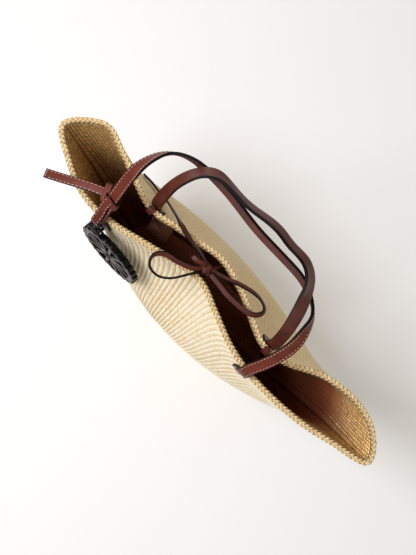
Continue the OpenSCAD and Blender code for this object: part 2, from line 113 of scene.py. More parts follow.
class Link:
    # one output socket, with the arithmetic that adds Math nodes
    def __init__(self, tree, socket):
        self.tree, self.socket = tree, socket

    def after(self, kind, settings, *values):
        return Link(self.tree, newNode(self.tree, kind, settings, dict(enumerate(values))).outputs[0])

    def maths(self, operation, *values):
        return self.after("ShaderNodeMath", {"operation": operation}, *values)

    def __add__(self, other): return self.maths("ADD", self, other)
    def __radd__(self, other): return self.maths("ADD", other, self)
    def __sub__(self, other): return self.maths("SUBTRACT", self, other)
    def __rsub__(self, other): return self.maths("SUBTRACT", other, self)
    def __mul__(self, other): return self.maths("MULTIPLY", self, other)
    def __rmul__(self, other): return self.maths("MULTIPLY", other, self)
    def __gt__(self, other): return self.maths("GREATER_THAN", self, other)

    def floor(self): return self.maths("FLOOR", self)
    def fract(self): return self.maths("FRACT", self)
    def abs(self): return self.maths("ABSOLUTE", self)
    def power(self, exponent): return self.maths("POWER", self, exponent)

    def ease(self, low, high):
        # smooth step from 0 at low to 1 at high
        settings = {"interpolation_type": "SMOOTHSTEP"}
        return self.after("ShaderNodeMapRange", settings, self, low, high, 0.0, 1.0)

    def edges(self, low, high):
        # 0 in the middle of each whole number's span, easing to 1 at its two ends
        return ((self.fract() - 0.5).abs() * 2).ease(low, high)


def tint(text):
    # linear colour from a six-digit hex colour, by the usual display curve
    parts = [int(text[i:i + 2], 16) / 255 for i in (0, 2, 4)]
    return tuple(c / 12.92 if c <= 0.04045 else ((c + 0.055) / 1.055) ** 2.4 for c in parts)


class Finish:
    # a material on one Principled shader
    def __init__(self, name, **sockets):
        self.material = bpy.data.materials.new(name)
        self.material.use_nodes = True
        self.tree = self.material.node_tree
        self.shader = self.tree.nodes["Principled BSDF"]
        self.set(**sockets)

    def set(self, **sockets):
        for key, value in sockets.items():
            plug(self.tree, self.shader.inputs[key.replace("_", " ")], value)

    def node(self, kind, settings, sockets, output=0):
        return Link(self.tree, newNode(self.tree, kind, settings, sockets).outputs[output])

    def mix(self, a, b, factor):
        return self.node("ShaderNodeMix", {"data_type": "RGBA"}, {0: factor, 6: a, 7: b}, 2)

    def scale(self, colour, factor):
        return self.node("ShaderNodeVectorMath", {"operation": "SCALE"}, {0: colour, "Scale": factor})

    def ramp(self, factor, *stops):
        return self.node("ShaderNodeValToRGB", {"stops": stops}, {0: factor})

    def noise(self, vector, scale, detail=3.0):
        return self.node("ShaderNodeTexNoise", {"noise_dimensions": "3D"},
                         {"Vector": vector, "Scale": scale, "Detail": detail})

    def cells(self, vector):
        return self.node("ShaderNodeTexWhiteNoise", {"noise_dimensions": "3D"}, {"Vector": vector})

    def place(self):
        return self.node("ShaderNodeTexCoord", {}, {}, "Object")

    def uv(self):
        # the two numbers of the piece's own UV map
        node = newNode(self.tree, "ShaderNodeSeparateXYZ", {},
                       {0: self.node("ShaderNodeUVMap", {"uv_map": "UVMap"}, {})})
        return [Link(self.tree, out) for out in node.outputs[:2]]

    def join(self, x, y, z=0.0):
        return self.node("ShaderNodeCombineXYZ", {}, {0: x, 1: y, 2: z})

    def painted(self, name):
        return self.node("ShaderNodeAttribute", {"attribute_name": name}, {}, "Fac")

    def bump(self, height, strength, distance):
        self.set(Normal=self.node("ShaderNodeBump", {}, {"Height": height, "Strength": strength,
                                                         "Distance": distance}))


def unit(v):
    return v / np.linalg.norm(v, axis=-1, keepdims=True)


def smooth(t):
    c = np.clip(t, 0, 1)
    return c * c * (3 - 2 * c)


def stacked(*parts):
    # numbers or arrays side by side along a new last axis
    return np.stack(np.broadcast_arrays(*parts), -1)


def fullTurn(n):
    return np.linspace(0, 2 * math.pi, n, endpoint=False)


def circle(n):
    return stacked(np.cos(fullTurn(n)), np.sin(fullTurn(n)))


def curveThrough(points, steps, closed=False):
    # each span is the cubic through its two ends, with slopes taken from the points either side
    p = np.asarray(points, float)
    n = len(p)
    i = np.repeat(np.arange(n if closed else n - 1), steps)
    t = (np.arange(len(i)) % steps / steps)[:, None]
    if closed:
        a, b, c, d = p[(i - 1) % n], p[i], p[(i + 1) % n], p[(i + 2) % n]
    else:
        a, b, c, d = p[np.maximum(i - 1, 0)], p[i], p[i + 1], p[np.minimum(i + 2, n - 1)]
    line = 0.5 * (2 * b + (c - a) * t + (2 * a - 5 * b + 4 * c - d) * t**2 + (3 * b - a - 3 * c + d) * t**3)
    return line if closed else np.vstack([line, p[-1]])


def runLength(p):
    return np.concatenate([[0], np.cumsum(np.linalg.norm(np.diff(p[:, :3], axis=0), axis=1))])


def evenly(rows, step):
    # the same line at equal steps; columns past the third, such as normals, are carried along
    s = runLength(rows)
    at = np.linspace(0, s[-1], max(2, round(s[-1] / step) + 1))
    return np.stack([np.interp(at, s, rows[:, k]) for k in range(rows.shape[1])], 1)


def tangents(p, closed=False):
    if closed:
        return unit(np.roll(p, -1, 0) - np.roll(p, 1, 0))
    return unit(np.vstack([p[1:2] - p[:1], p[2:] - p[:-2], p[-1:] - p[-2:-1]]))


def turnAbout(v, axis, degrees):
    a = np.radians(np.asarray(degrees, float))[..., None]
    return (v * np.cos(a) + np.cross(axis, v) * np.sin(a)
            + axis * np.sum(axis * v, -1, keepdims=True) * (1 - np.cos(a)))


def framesAlong(path, faces):
    # centre, outward direction and side direction at each point of a strip
    t = tangents(path)
    side = unit(np.cross(faces, t))
    return path, unit(np.cross(t, side)), side


def framesThrough(points, faces, steps, step):
    # frames at equal steps on the curve through these points, turning through these outward directions
    rows = evenly(np.hstack([curveThrough(points, steps), curveThrough(faces, steps)]), step)
    return framesAlong(rows[:, :3], rows[:, 3:])


def framesRound(path, middle):
    # the same for a closed band, its outward direction away from its middle
    t = tangents(path, True)
    side = unit(np.cross(unit(path - middle), t))
    return path, unit(np.cross(t, side)), side


class Shape:
    # points in mm, and faces in groups with as many corners, each with its texture places
    def __init__(self):
        self.points, self.groups, self.places, self.slots = [], [], [], []
        self.shades, self.count = {}, 0

    def add(self, points, groups, places=None, slot=0, **shades):
        points = np.asarray(points, float).reshape(-1, 3)
        for k, group in enumerate(groups):
            self.groups.append(group + self.count)
            self.places.append(np.zeros((*group.shape, 2)) if places is None else places[k])
            self.slots.append(np.full(len(group), slot if np.isscalar(slot) else slot[k]))
        for key, values in shades.items():
            self.shades.setdefault(key, []).append((self.count, np.asarray(values, float).ravel()))
        self.points.append(points)
        self.count += len(points)
        return self

    def piece(self, name, *finishes):
        mesh = bpy.data.meshes.new(name)
        sizes = np.concatenate([np.full(len(g), g.shape[1]) for g in self.groups])
        mesh.vertices.add(self.count)
        mesh.loops.add(int(sizes.sum()))
        mesh.polygons.add(len(sizes))
        for data, key, values, kind in (
                (mesh.vertices, "co", np.vstack(self.points) * mm, np.float32),
                (mesh.loops, "vertex_index", np.concatenate([g.ravel() for g in self.groups]), np.int32),
                (mesh.polygons, "loop_start", np.cumsum(sizes) - sizes, np.int32),
                (mesh.polygons, "use_smooth", np.ones(len(sizes)), bool),
                (mesh.polygons, "material_index", np.concatenate(self.slots), np.int32)):
            data.foreach_set(key, values.astype(kind).ravel())
        places = np.concatenate([p.ravel() for p in self.places]).astype(np.float32)
        mesh.uv_layers.new(name="UVMap").data.foreach_set("uv", places)
        for key, parts in self.shades.items():
            values = np.zeros(self.count, np.float32)
            for start, part in parts:
                values[start:start + len(part)] = part
            mesh.attributes.new(key, "FLOAT", "POINT").data.foreach_set("value", values)
        mesh.update(calc_edges=True)
        for finish in finishes:
            mesh.materials.append(finish.material)
        piece = bpy.data.objects.new(name, mesh)
        scene.collection.objects.link(piece)
        return piece


def gridFaces(rows, columns, closedRows=False, closedColumns=False):
    # quads of a grid whose point (i, j) has the number i * columns + j
    i = np.arange(rows if closedRows else rows - 1)[:, None]
    j = np.arange(columns if closedColumns else columns - 1)[None, :]
    ii, jj = (i + 1) % rows, (j + 1) % columns
    return stacked(i * columns + j, i * columns + jj, ii * columns + jj, ii * columns + j).reshape(-1, 4)


def cappedRings(rings, each):
    # a tube of closed rings, with one face over each end
    ring = np.arange(each)[None]
    return [gridFaces(rings, each, False, True), ring[:, ::-1], (rings - 1) * each + ring]


def turned(groups):
    # the same faces, looking the other way
    return [group[:, ::-1] for group in groups]


def sweep(frames, profile, closed=False):
    # profile points [across, out], anticlockwise seen against the path, carried along the frames and capped
    centres, outs, sides = frames
    n = len(centres)
    profile = np.asarray(profile, float)
    rings = np.broadcast_to(profile, (n, *profile.shape)) if profile.ndim == 2 else profile
    m = rings.shape[1]
    points = centres[:, None] + sides[:, None] * rings[..., :1] + outs[:, None] * rings[..., 1:]
    # texture places are mm along the path and mm round the profile
    along = runLength(np.vstack([centres, centres[:1]]) if closed else centres)
    girth = runLength(np.column_stack([np.vstack([rings[0], rings[0][:1]]), np.zeros(m + 1)]))
    i = np.arange(n if closed else n - 1)[:, None]
    j = np.arange(m)[None, :]
    corners = [(i, j), (i, j + 1), (i + 1, j + 1), (i + 1, j)]
    places = np.stack([stacked(along[a], girth[b]) for a, b in corners], -2).reshape(-1, 4, 2)
    groups = [gridFaces(n, m, True, True)] if closed else cappedRings(n, m)
    return points.reshape(-1, 3), groups, [places] + [np.zeros((1, m, 2))] * (len(groups) - 1)


quarter = np.radians([0, 30, 60, 90])       # the rounded corners of a strip


def stripProfile(width, low, high, corner, crown, paint, crease=0.0):
    # Flat strip, its face slightly crowned. Returns its points and 1 where the edge is painted.
    # A crease is a shallow channel pressed along each edge for the stitching.
    w, r = width / 2, min(corner, (high - low) / 2)
    creaseHalf, creaseDepth = 0.45, 0.18
    arc = stacked(w - r + r * np.cos(quarter), high - r + r * np.sin(quarter))
    channel = [w - crease + creaseHalf, w - crease, w - crease - creaseHalf] if crease else []
    across = np.array([w - paint, *channel, w * 0.4])
    drop = np.where(np.abs(across - (w - crease)) < 0.1, creaseDepth, 0) if crease else 0
    right = np.vstack([arc, stacked(across, high + crown * (1 - (across / w) ** 2) - drop)])
    under = [[-w, low + 0.3 * r], [-w + 0.3 * r, low], [w - 0.3 * r, low], [w, low + 0.3 * r]]
    profile = np.vstack([under, right, [[0, high + crown]], right[::-1] * [-1, 1]])
    edge = (np.abs(profile[:, 0]) > w - paint - 0.01) | (profile[:, 1] < (low + high) / 2)
    return profile, edge


def bothFaces(width, thick, corner, crown, paint):
    # flat strip with a face on each side and painted, rounded edges
    w, h, r = width / 2, thick / 2, min(corner, thick / 2)
    arc = stacked(w - r + r * np.cos(quarter), h - r + r * np.sin(quarter))
    shoulder = w - r - paint
    top = [[shoulder, h + crown * 0.5], [0, h + crown], [-shoulder, h + crown * 0.5]]
    upper = np.vstack([arc, top, arc[::-1] * [-1, 1]])
    profile = np.vstack([upper, -upper])
    return profile, np.abs(profile[:, 0]) > w - r - 0.01


def strip(shape, frames, section, closed=False):
    # one strip added to a shape: its skin in slot 0, its painted edges and cut ends in slot 1
    profile, edge = section
    points, groups, places = sweep(frames, profile, closed)
    painted = np.tile(edge & np.roll(edge, -1), len(groups[0]) // len(edge))
    shape.add(points, [groups[0][~painted], groups[0][painted], *groups[1:]],
              [places[0][~painted], places[0][painted], *places[1:]], slot=[0, 1, 1, 1])
    return shape


def bead(rings=4, sides=6):
    # closed oval bead of half size 1 along x, y and z: circles of radius sin(a) at x = -cos(a)
    a = np.linspace(0, math.pi, rings + 2)[1:-1, None]
    b = fullTurn(sides)[None, :]
    body = stacked(-np.cos(a), np.sin(a) * np.cos(b), np.sin(a) * np.sin(b)).reshape(-1, 3)
    k = np.arange(sides)
    after, end = (k + 1) % sides, (rings - 1) * sides
    return (np.vstack([body, [[-1, 0, 0], [1, 0, 0]]]), gridFaces(rings, sides, False, True),
            stacked(rings * sides, after, k), stacked(rings * sides + 1, end + k, end + after))


def beads(shape, centres, xs, ys, zs, slot=0):
    # the same bead at every centre, its three half sizes given as vectors
    points, *groups = bead()
    x, y, z = (points[:, k:k + 1] for k in range(3))
    every = centres[:, None] + x * xs[..., None, :] + y * ys[..., None, :] + z * zs[..., None, :]
    shift = (np.arange(len(centres)) * len(points))[:, None, None]
    shape.add(every, [(group + shift).reshape(-1, group.shape[1]) for group in groups], slot=slot)


def settle(piece, slot, body, *replaced):
    # the piece moves with the body and stands for these nodes, which it hides; the slot is not used
    if replaced:
        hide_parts(*replaced)
    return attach(piece, body)


stitch = {
    "pitch": 4.8,       # mm from stitch to stitch
    "length": 2.9,
    "thick": 0.5,
    "skew": 0.12,       # how far each lies askew in its crease
}


def stitchLine(shape, frames, across, out, slot=0):
    # stitches along a strip, offset from its middle
    centres, outs, sides = frames
    rows = np.hstack([centres + sides * across + outs * out, outs, sides])
    s = runLength(rows)
    at = np.arange(stitch["pitch"], s[-1] - stitch["pitch"] / 2, stitch["pitch"])
    rows = np.stack([np.interp(at, s, rows[:, k]) for k in range(9)], 1)
    outs, sides = unit(rows[:, 3:6]), unit(rows[:, 6:])
    along = unit(np.cross(sides, outs) + stitch["skew"] * sides)
    t = stitch["thick"] / 2
    beads(shape, rows[:, :3], along * stitch["length"] / 2, sides * t, outs * t, slot)


# finishes of the leather pieces

leather = {
    "face": "642a1c",
    "lining": "56241a",
    "paint": "060404",
    "lace": "4d2218",
    "stitch": "d8c2b6",
    "roughness": 0.40,
    "tones": 38, "mottle": 160, "fine": 900, "pores": 1100,        # how many to the metre
    "paintTones": 120, "twist": 1600,
}


def leatherFinish(name, colour, roughness=leather["roughness"], grain=0.5):
    # small pebbled grain and slow changes of tone
    f = Finish(name, Specular_IOR_Level=0.17)
    place = f.place()
    slow = f.noise(place, leather["tones"], 2)
    fine = f.noise(place, leather["fine"])
    pores = f.node("ShaderNodeTexVoronoi", {"feature": "DISTANCE_TO_EDGE"},
                   {"Vector": place, "Scale": leather["pores"]})
    base = tint(colour)
    mottle = slow * 0.6 + f.noise(place, leather["mottle"]) * 0.4
    skin = f.ramp(mottle, (0.36, tuple(c * 0.7 for c in base)), (0.64, tuple(c * 1.2 for c in base)))
    f.set(Base_Color=f.scale(skin, 0.93 + fine * 0.14), Roughness=(roughness - 0.07) + slow * 0.14)
    f.bump(pores.power(0.5) * 0.7 + fine * 0.4, grain, 0.0002)
    return f


def paintFinish():
    f = Finish("edge_paint", Specular_IOR_Level=0.12)
    slow = f.noise(f.place(), leather["paintTones"], 2)
    f.set(Base_Color=f.scale(tint(leather["paint"]), 0.7 + slow * 0.6), Roughness=0.45 + slow * 0.15)
    return f


def threadFinish(name, colour):
    f = Finish(name, Roughness=0.7)
    twist = f.noise(f.place(), leather["twist"], 2)
    f.set(Base_Color=f.scale(tint(colour), 0.8 + twist * 0.4))
    f.bump(twist, 0.4, 0.0001)
    return f


faceLeather = leatherFinish("strap_leather", leather["face"])
liningLeather = leatherFinish("strap_lining", leather["lining"], 0.43, 0.35)
laceLeather = leatherFinish("lace_leather", leather["lace"], 0.42, 0.35)
edgePaint = paintFinish()
stitchThread = threadFinish("stitch_thread", leather["stitch"])

# lace tied in a bow across the mouth: heights are above the middle of the rim

tie = {
    "width": 6, "thick": 2, "rim": 285,
    "knot": (-15, 13, 293), "knotTurn": -31, "knotSize": (16, 10.4, 9.8),
    "core": (0.98, 0.62, 0.68),             # share of the knot's size
    "wrap": (7.8, 1.9), "wrapInset": (1.2, 1.3),
    "wraps": ((-0.2, 10, 0.0), (1.6, -14, -0.35)),      # place along the knot, lean in degrees, extra size
}
laceSection = bothFaces(tie["width"], tie["thick"], 0.55, 0.12, 0.3)
zUp = np.array([0, 0, 1.0])


def addLace(name, route, faces, node):
    frames = framesThrough(route + zUp * tie["rim"], faces, 8, 1.2)
    piece = strip(Shape(), frames, laceSection).piece(name, laceLeather, edgePaint)
    settle(piece, "lining", "basket", node)
    return piece, frames[0]


def loopFaces(route):
    # the branch that leaves the knot first lies flat, the one that comes back stands on edge
    t = tangents(np.asarray(route, float))
    flat = np.interp(np.arange(len(t)), [0, 3, 5, len(t) - 1], [1.8, 1.8, 0.3, 0.15])
    return unit(stacked(-t[:, 1], t[:, 0], flat))


leftRoute = [(-18, 10, 9), (-27, 1, 12), (-43, -6, 13), (-54, -9, 12), (-61, -15, 11), (-62, -23, 9),
             (-56, -30, 6), (-44, -30, 4), (-33, -22, 6), (-25, -9, 9), (-18, 6, 7)]
rightRoute = [(-11, 15, 9), (6, 20, 13), (21, 27, 15), (38, 32, 15), (50, 32, 14), (58, 28, 13),
              (58, 21, 12), (52, 15, 11), (42, 12, 10), (22, 10, 9), (8, 11, 8), (-9, 12, 7)]
rightFaces = [(0, 0.8, 0.6), (-0.2, 0.7, 0.7), (-0.2, 0.7, 0.7), (-0.1, 0.8, 0.6), (0.3, 1, 0.4),
              (1, 0.3, 0.5), (0.6, -0.6, 0.9), (0.1, -0.5, 1), (0, -0.3, 1), (0, -0.2, 1), (0, -0.2, 1),
              (0, -0.1, 1)]
longRoute = [(-20, 16, 8), (-32, 18.5, 12), (-45, 19.5, 13), (-56, 21.5, 12), (-66, 24, 9), (-73, 26.5, 1),
             (-79.5, 29, -11), (-85, 31.3, -25), (-92, 34, -39), (-100, 36, -49), (-109, 37, -56),
             (-118, 38, -59), (-129, 38.5, -57), (-139, 37, -49)]
longFaces = [(0.3, 0.8, 0.5), (0.2, 0.8, 0.6), (0.2, 0.7, 0.7), (0.1, 0.5, 0.8), (0.1, 0.5, 0.8),
             (0.1, 0.8, 0.5)] + [(0, 1, 0.3)] * 8
shortRoute = [(-17.5, 14.5, 13), (-21, 13, 15.5), (-26, 11, 17), (-30, 10, 17), (-34, 10, 16)]
shortFaces = [(0, -0.3, 1)] * 5
frontRoute = [(-14.5, 12, 2.2), (-14, 8.5, 2), (-13.5, 6.3, -1), (-13, 5.2, -5), (-12.5, 3.4, -10),
              (-12, 1.9, -15)]
frontFaces = [(0, 0, 1), (0, 0.3, 1), (0, 1, 0.8), (0, 1, 0.3), (0, 1, 0.3), (0, 1, 0.3)]
backRoute = [(-12, 14.5, 2.2), (-9.5, 18.5, 1.8), (-7.5, 22.5, -1), (-6.5, 26, -6), (-6, 28, -11),
             (-6, 28.8, -16)]
backFaces = [(0, 0, 1), (0, -0.3, 1), (0, -0.8, 1), (0, -1, 0.6), (0, -1, 0.2), (0, -1, 0.1)]


def addKnot():
    # two wraps of lace round the crossing, and a rounded core inside them
    shape = Shape()
    n, levels = 48, 13
    a = fullTurn(n)
    along = turnAbout(np.array([1.0, 0, 0]), zUp, tie["knotTurn"])
    across = np.cross(zUp, along)
    half = np.array(tie["knotSize"]) / 2
    middle = np.array(tie["knot"], float)
    # the core is an oval whose section is a rounded square: radius 1 / (cos^4 + sin^4)^(1/4)
    square = 1 / (np.cos(a)**4 + np.sin(a)**4) ** 0.25
    b = np.linspace(0, math.pi, levels + 2)[1:-1, None]
    size = half * tie["core"]
    core = (middle + along * (-np.cos(b) * size[0])[..., None]
            + (np.sin(b) ** 0.6 * np.cos(a) * square * size[1])[..., None] * across
            + (np.sin(b) ** 0.6 * np.sin(a) * square * size[2])[..., None] * zUp)
    shape.add(core, cappedRings(levels, n))
    for offset, lean, grow in tie["wraps"]:
        axis = turnAbout(along, zUp, lean)
        centre = middle + axis * offset
        deep, tall = half[1:] - tie["wrapInset"] + grow
        path = (centre + (np.cos(a) * square * deep)[:, None] * np.cross(zUp, axis)
                + (np.sin(a) * square * tall)[:, None] * zUp)
        strip(shape, framesRound(path, centre), bothFaces(*tie["wrap"], 0.55, 0.25, 0.35), True)
    return settle(shape.piece("bow_knot_wrap", laceLeather, edgePaint), "lining", "basket", "bow_knot")


def addTie():
    knot = addKnot()
    left, leftLine = addLace("bow_loop_left", leftRoute, loopFaces(leftRoute), "lace_loop_left")
    right, rightLine = addLace("bow_loop_right", rightRoute, rightFaces, "lace_loop_right")
    tail, tailLine = addLace("bow_tail_long", longRoute, longFaces, "lace_tail_long")
    others = [addLace(*row)[0] for row in (("bow_tail_short", shortRoute, shortFaces, "lace_tail_short"),
                                           ("lace_to_front", frontRoute, frontFaces, "lace_front"),
                                           ("lace_to_back", backRoute, backFaces, "lace_back"))]


# hang tag inside the back wall, on its thread

tag = {
    "size": (28, 20, 2), "at": (-83, 10, 222), "tilt": 35, "turn": 12, "corner": 3, "round": 0.5,
    "crown": 0.15, "hole": 1.2, "holeInset": 4, "colour": "4e2c1d",
    "thread": 1.0, "threadColour": "cfc0a0",
}
threadRoute = [(-98, 10.6, -23), (-97.5, 10.9, -31), (-96.5, 10.8, -41), (-95.5, 10.8, -49),
               (-94.5, 11, -54), (-93.4, 11.2, -57.3)]


def addTag():
    # outline and hole are two closed lines with as many points, joined by flat faces and rounded edges
    w, h, t = tag["size"]
    n, r, e = 64, tag["corner"], tag["round"]
    ring = circle(n)
    outline = np.sign(ring) * [w / 2 - r, h / 2 - r] + r * ring
    eye = np.array([tag["holeInset"] - w / 2, h / 2 - tag["holeInset"]]) + tag["hole"] * ring
    profile = [(0, 0), (0, t), (1 - e / 10, t + tag["crown"]), (1, t - e), (1, e), (1 - e / 10, 0)]
    rings = np.stack([np.column_stack([eye * (1 - k) + outline * k, np.full(n, z)]) for k, z in profile])
    tilted = turnAbout(rings.reshape(-1, 3), np.array([1.0, 0, 0]), tag["tilt"])
    points = turnAbout(tilted, zUp, tag["turn"]) + tag["at"]
    plate = Shape().add(points, turned([gridFaces(len(profile), n, True, True)])) \
        .piece("hang_tag_plate", leatherFinish("tag_leather", tag["colour"], 0.5, 0.6))
    settle(plate, "tag_leather", "basket", "hang_tag")
    frames = framesThrough(threadRoute + zUp * tie["rim"], [(0, 0.3, 1)] * len(threadRoute), 8, 0.8)
    thread = Shape().add(*sweep(frames, circle(8) * tag["thread"] / 2)) \
        .piece("hang_tag_thread", threadFinish("tag_thread", tag["threadColour"]))
    settle(thread, "thread", "basket", "tag_thread")


addTie()
addTag()
print("laces and tag made")

# the basket: a lens-shaped mouth lofted down to an oval base

bag = {
    "length": 472, "height": 285, "tipRise": 18, "middle": 10,
    "baseLength": 250, "baseDepth": 100, "belly": 12,
    "frontDepth": 44, "backDepth": 50,      # of the section just under the mouth, from its middle
    "sharpness": (0.6, 0.15),               # how much the front and the back draw to a point there
    "shift": 4, "turnIn": 0.56,             # the mouth's own line takes over from this share of the height
    "wall": 4, "base": 4, "braid": 8, "gap": 0.5,
    "ribs": 128,            # upright ribs all round
    "rows": 94,             # rows of weaving from base to rim
    "sectors": 6,
    "ribDepth": 2.1, "rowDepth": 0.6,           # on the outside
    "legInside": 0.9, "rowInside": 1.0,
    "uneven": 0.35, "ribUneven": 0.2,           # from stitch to stitch, and from rib to rib
    "ribsAt": (1.0, 0.38, 0.1),                 # how much the ribs stand out: front left, front right, back
    "zigzag": 0.62,         # rise of each stitch towards the middle of its rib, in rows
    "fan": 0.45,            # how far the ribs draw together towards the middle of each side, lower down
}
mouthFront = [(-100, 3), (-87, -18), (-71, -31), (-54, -28), (-38, -17), (-22, -6), (-8, 0),
              (6, -10), (21, -22), (37, -28), (53, -27), (69, -22), (83, -13)]
mouthBack = [(100, 0), (92, 26), (77, 35), (60, 28), (47, 11), (39, 4), (30, 4), (19, 14),
             (7, 25), (-9, 32), (-23, 25), (-34, 19), (-43, 13), (-51, 13), (-60, 19), (-74, 29), (-88, 35)]
halfLength = bag["length"] / 2
mouthSteps = 8
mouth = curveThrough([(bag["middle"] + halfLength * x / 100, y) for x, y in mouthFront + mouthBack],
                     mouthSteps, True)
tip = len(mouthFront) * mouthSteps
frontLine, backLine = mouth[:tip + 1], np.vstack([mouth[tip:], mouth[:1]])
frontRun, backRun = runLength(frontLine), runLength(backLine)


def mouthAt(u):
    # u from 0 to 1 runs along the front at an even pace, from 1 to 2 along the back
    u = np.mod(u, 2)
    front = [np.interp(u * frontRun[-1], frontRun, frontLine[:, k]) for k in (0, 1)]
    back = [np.interp((u - 1) * backRun[-1], backRun, backLine[:, k]) for k in (0, 1)]
    return np.where(u < 1, front, back)


def rimHeight(x):
    return bag["height"] + bag["tipRise"] * ((x - bag["middle"]) / halfLength) ** 2


def rimAt(u):
    x, y = mouthAt(u)
    return stacked(x, y, rimHeight(x))


def wallTop(u):
    # the braid is an eight-sided rod in the frame's model, so its flat lies lower than its radius
    return rimHeight(mouthAt(u)[0]) - bag["braid"] / 2 * math.cos(math.pi / 8) - bag["gap"] / 2


def halfWidth(v):
    return bag["baseLength"] / 2 + (halfLength - bag["baseLength"] / 2) * v


def sectionAt(u, v):
    # half oval of power f = (1 - s^2)^p on each side: round at the base, a pointed lens higher up
    back = u >= 1
    w = np.where(back, u - 1, u)
    e = 0.4 * (1 - v)       # low down the places crowd towards the tips
    s = (1 - e) * (2 * w - 1) - e * np.cos(math.pi * w)
    swell = bag["belly"] * np.sin(math.pi * v)
    depth = np.where(back, bag["backDepth"], bag["frontDepth"]) * v + bag["baseDepth"] / 2 * (1 - v) + swell
    f = np.maximum(1 - s * s, 0) ** (0.45 + np.where(back, *bag["sharpness"][::-1]) * v)
    sign, shift = np.where(back, -1, 1), bag["shift"] * v
    return bag["middle"] * v + sign * halfWidth(v) * s, shift - sign * (depth + sign * shift) * f


def wallAt(u, v):
    # middle of the wall: the section turns into the mouth's own line over the upper part
    u = np.mod(u, 2)
    k = smooth((v - bag["turnIn"]) / (1 - bag["turnIn"]))
    mx, my = mouthAt(u)
    sx, sy = sectionAt(u, v)
    x = sx * (1 - k) + (bag["middle"] * v + (mx - bag["middle"]) * halfWidth(v) / halfLength) * k
    return stacked(x, sy * (1 - k) + my * k, bag["base"] + v * (wallTop(u) - bag["base"]))


def wallNormal(u, v, du=0.01, dv=0.02):
    return unit(np.cross(wallAt(u + du, v) - wallAt(u - du, v),
                         wallAt(u, np.minimum(v + dv, 1)) - wallAt(u, np.maximum(v - dv, 0))))


def wallOutward(u, v):
    return unit(wallNormal(u, v) * [1, 1, 0])


def placeOnSide(x, back):
    # place along the front or back for a given x, read from a table of 101 places as the frame's model does
    k = np.arange(101) / 100
    xs = mouthAt(k * 0.9999 + back)[0]
    return float(np.interp(x, xs[::-1], 1 + k[::-1])) if back else float(np.interp(x, xs, k))


straw = {
    "pale": "fff9e0",
    "mid": "faecc0",
    "tan": "e0be7c",
    # gap: joints between stitches and grooves between ribs, partly painted shade
    "gap": "ae803a",
    "inside": "eac07c",     # darker, warmer tone of the inside: painted shade and bounce light
    "hole": "3f2310",       # dark holes between the stitches inside, partly painted shade
    "deep": "9e5634",       # painted shade at the bottom
    "speck": 0.978,         # share of the inner stitches that let no light through
    "patches": 14, "grit": 1500,            # slow changes of tone and fine roughness, how many to the metre
    "paintedShadeRate": 2.1, "tips": (0.72, 0.25),    # painted shade from rim to base inside, and how much less of it at each tip
    "shade": 0.3,                           # how much sooner it begins, right of the middle
}


def strawFinish(name):
    # Every stitch has its own tone. Outside, the grooves between ribs are a warmer tan, partly dark joints
    # and partly painted shade, and the back is painted a browner tan as shade. Inside, the tone is darker
    # and warmer as painted shade and bounce light, both legs of each V-shaped stitch show, with dark holes
    # between them that are partly painted shade, and a few painted pinholes of light show part of the way
    # down. u counts ribs and v counts rows, and the painted shade held in depth is 0 outside and goes from
    # 0.06 at the rim to 1 lower down inside.
    f = Finish(name, Specular_IOR_Level=0.3)
    u, v = f.uv()
    leg = u * 2
    own = f.cells(f.join(leg.floor(), v.floor(), 3.0))
    fibre = f.noise(f.join(leg * 0.7, v * 6.0), 1.6)
    place = f.place()
    tone = own * 0.6 + fibre * 0.25 + f.noise(place, straw["patches"], 2) * 0.3
    ribs, depth = f.painted("ribs"), f.painted("depth")
    rowEdge, ribEdge, legEdge = v.edges(0.4, 1.0), u.edges(0.3, 1.0), leg.edges(0.5, 1.0)
    # outside
    skin = f.ramp(tone, (0.1, tint(straw["tan"])), (0.32, tint(straw["mid"])), (0.6, tint(straw["pale"])))
    # dark joints between the stitches, and painted shade in the grooves between ribs, darker where the ribs
    # stand out more
    clear = (1 - rowEdge * (0.85 - ribs * 0.4)) * (1 - ribEdge * ribs * 0.5) * (1 - legEdge * 0.25)
    skin = f.mix(skin, tint(straw["gap"]), 1 - clear)
    # painted shade: the back, marked by its low ribs, turns a browner tan
    skin = f.mix(skin, tint(straw["tan"]), (1 - ribs).ease(0.75, 0.9) * 0.45)
    # inside: painted shade, darker with depth, and a few painted pinholes of light part of the way down
    # dark holes between the stitches inside: dark joints, and partly painted shade
    hole = 1 - (1 - rowEdge * 0.85) * (1 - legEdge * 0.8)
    # the inside's own tone is painted shade and bounce light
    inner = f.mix(f.scale(tint(straw["inside"]), 0.7 + tone * 1.2), tint(straw["hole"]), hole)
    # painted shade: the deep colour takes over lower down inside
    inner = f.mix(inner, f.scale(tint(straw["deep"]), 0.4 + (1 - hole) * 1.0), depth.ease(0.1, 0.8))
    light = (own > straw["speck"]) * (1 - hole).ease(0.7, 0.98)
    inner = f.mix(inner, tint(straw["pale"]), light * depth.ease(0.2, 0.3) * (1 - depth.ease(0.5, 0.7)))
    within = depth.ease(0.0, 0.05)
    f.set(Base_Color=f.mix(skin, inner, within), Roughness=0.62 + own * 0.2)
    f.bump(fibre * 0.5 + f.noise(place, straw["grit"], 2) * 0.3 - hole * within * 0.8, 0.6, 0.0004)
    return f


strawWeave = strawFinish("straw_weave")


def cellNoise(i, j, seed):
    # a steady number from -0.5 to 0.5 for each stitch, from the fraction of a large sine
    return np.mod(np.sin(i * 12.9898 + j * 78.233 + seed * 37.719) * 43758.5453, 1) - 0.5


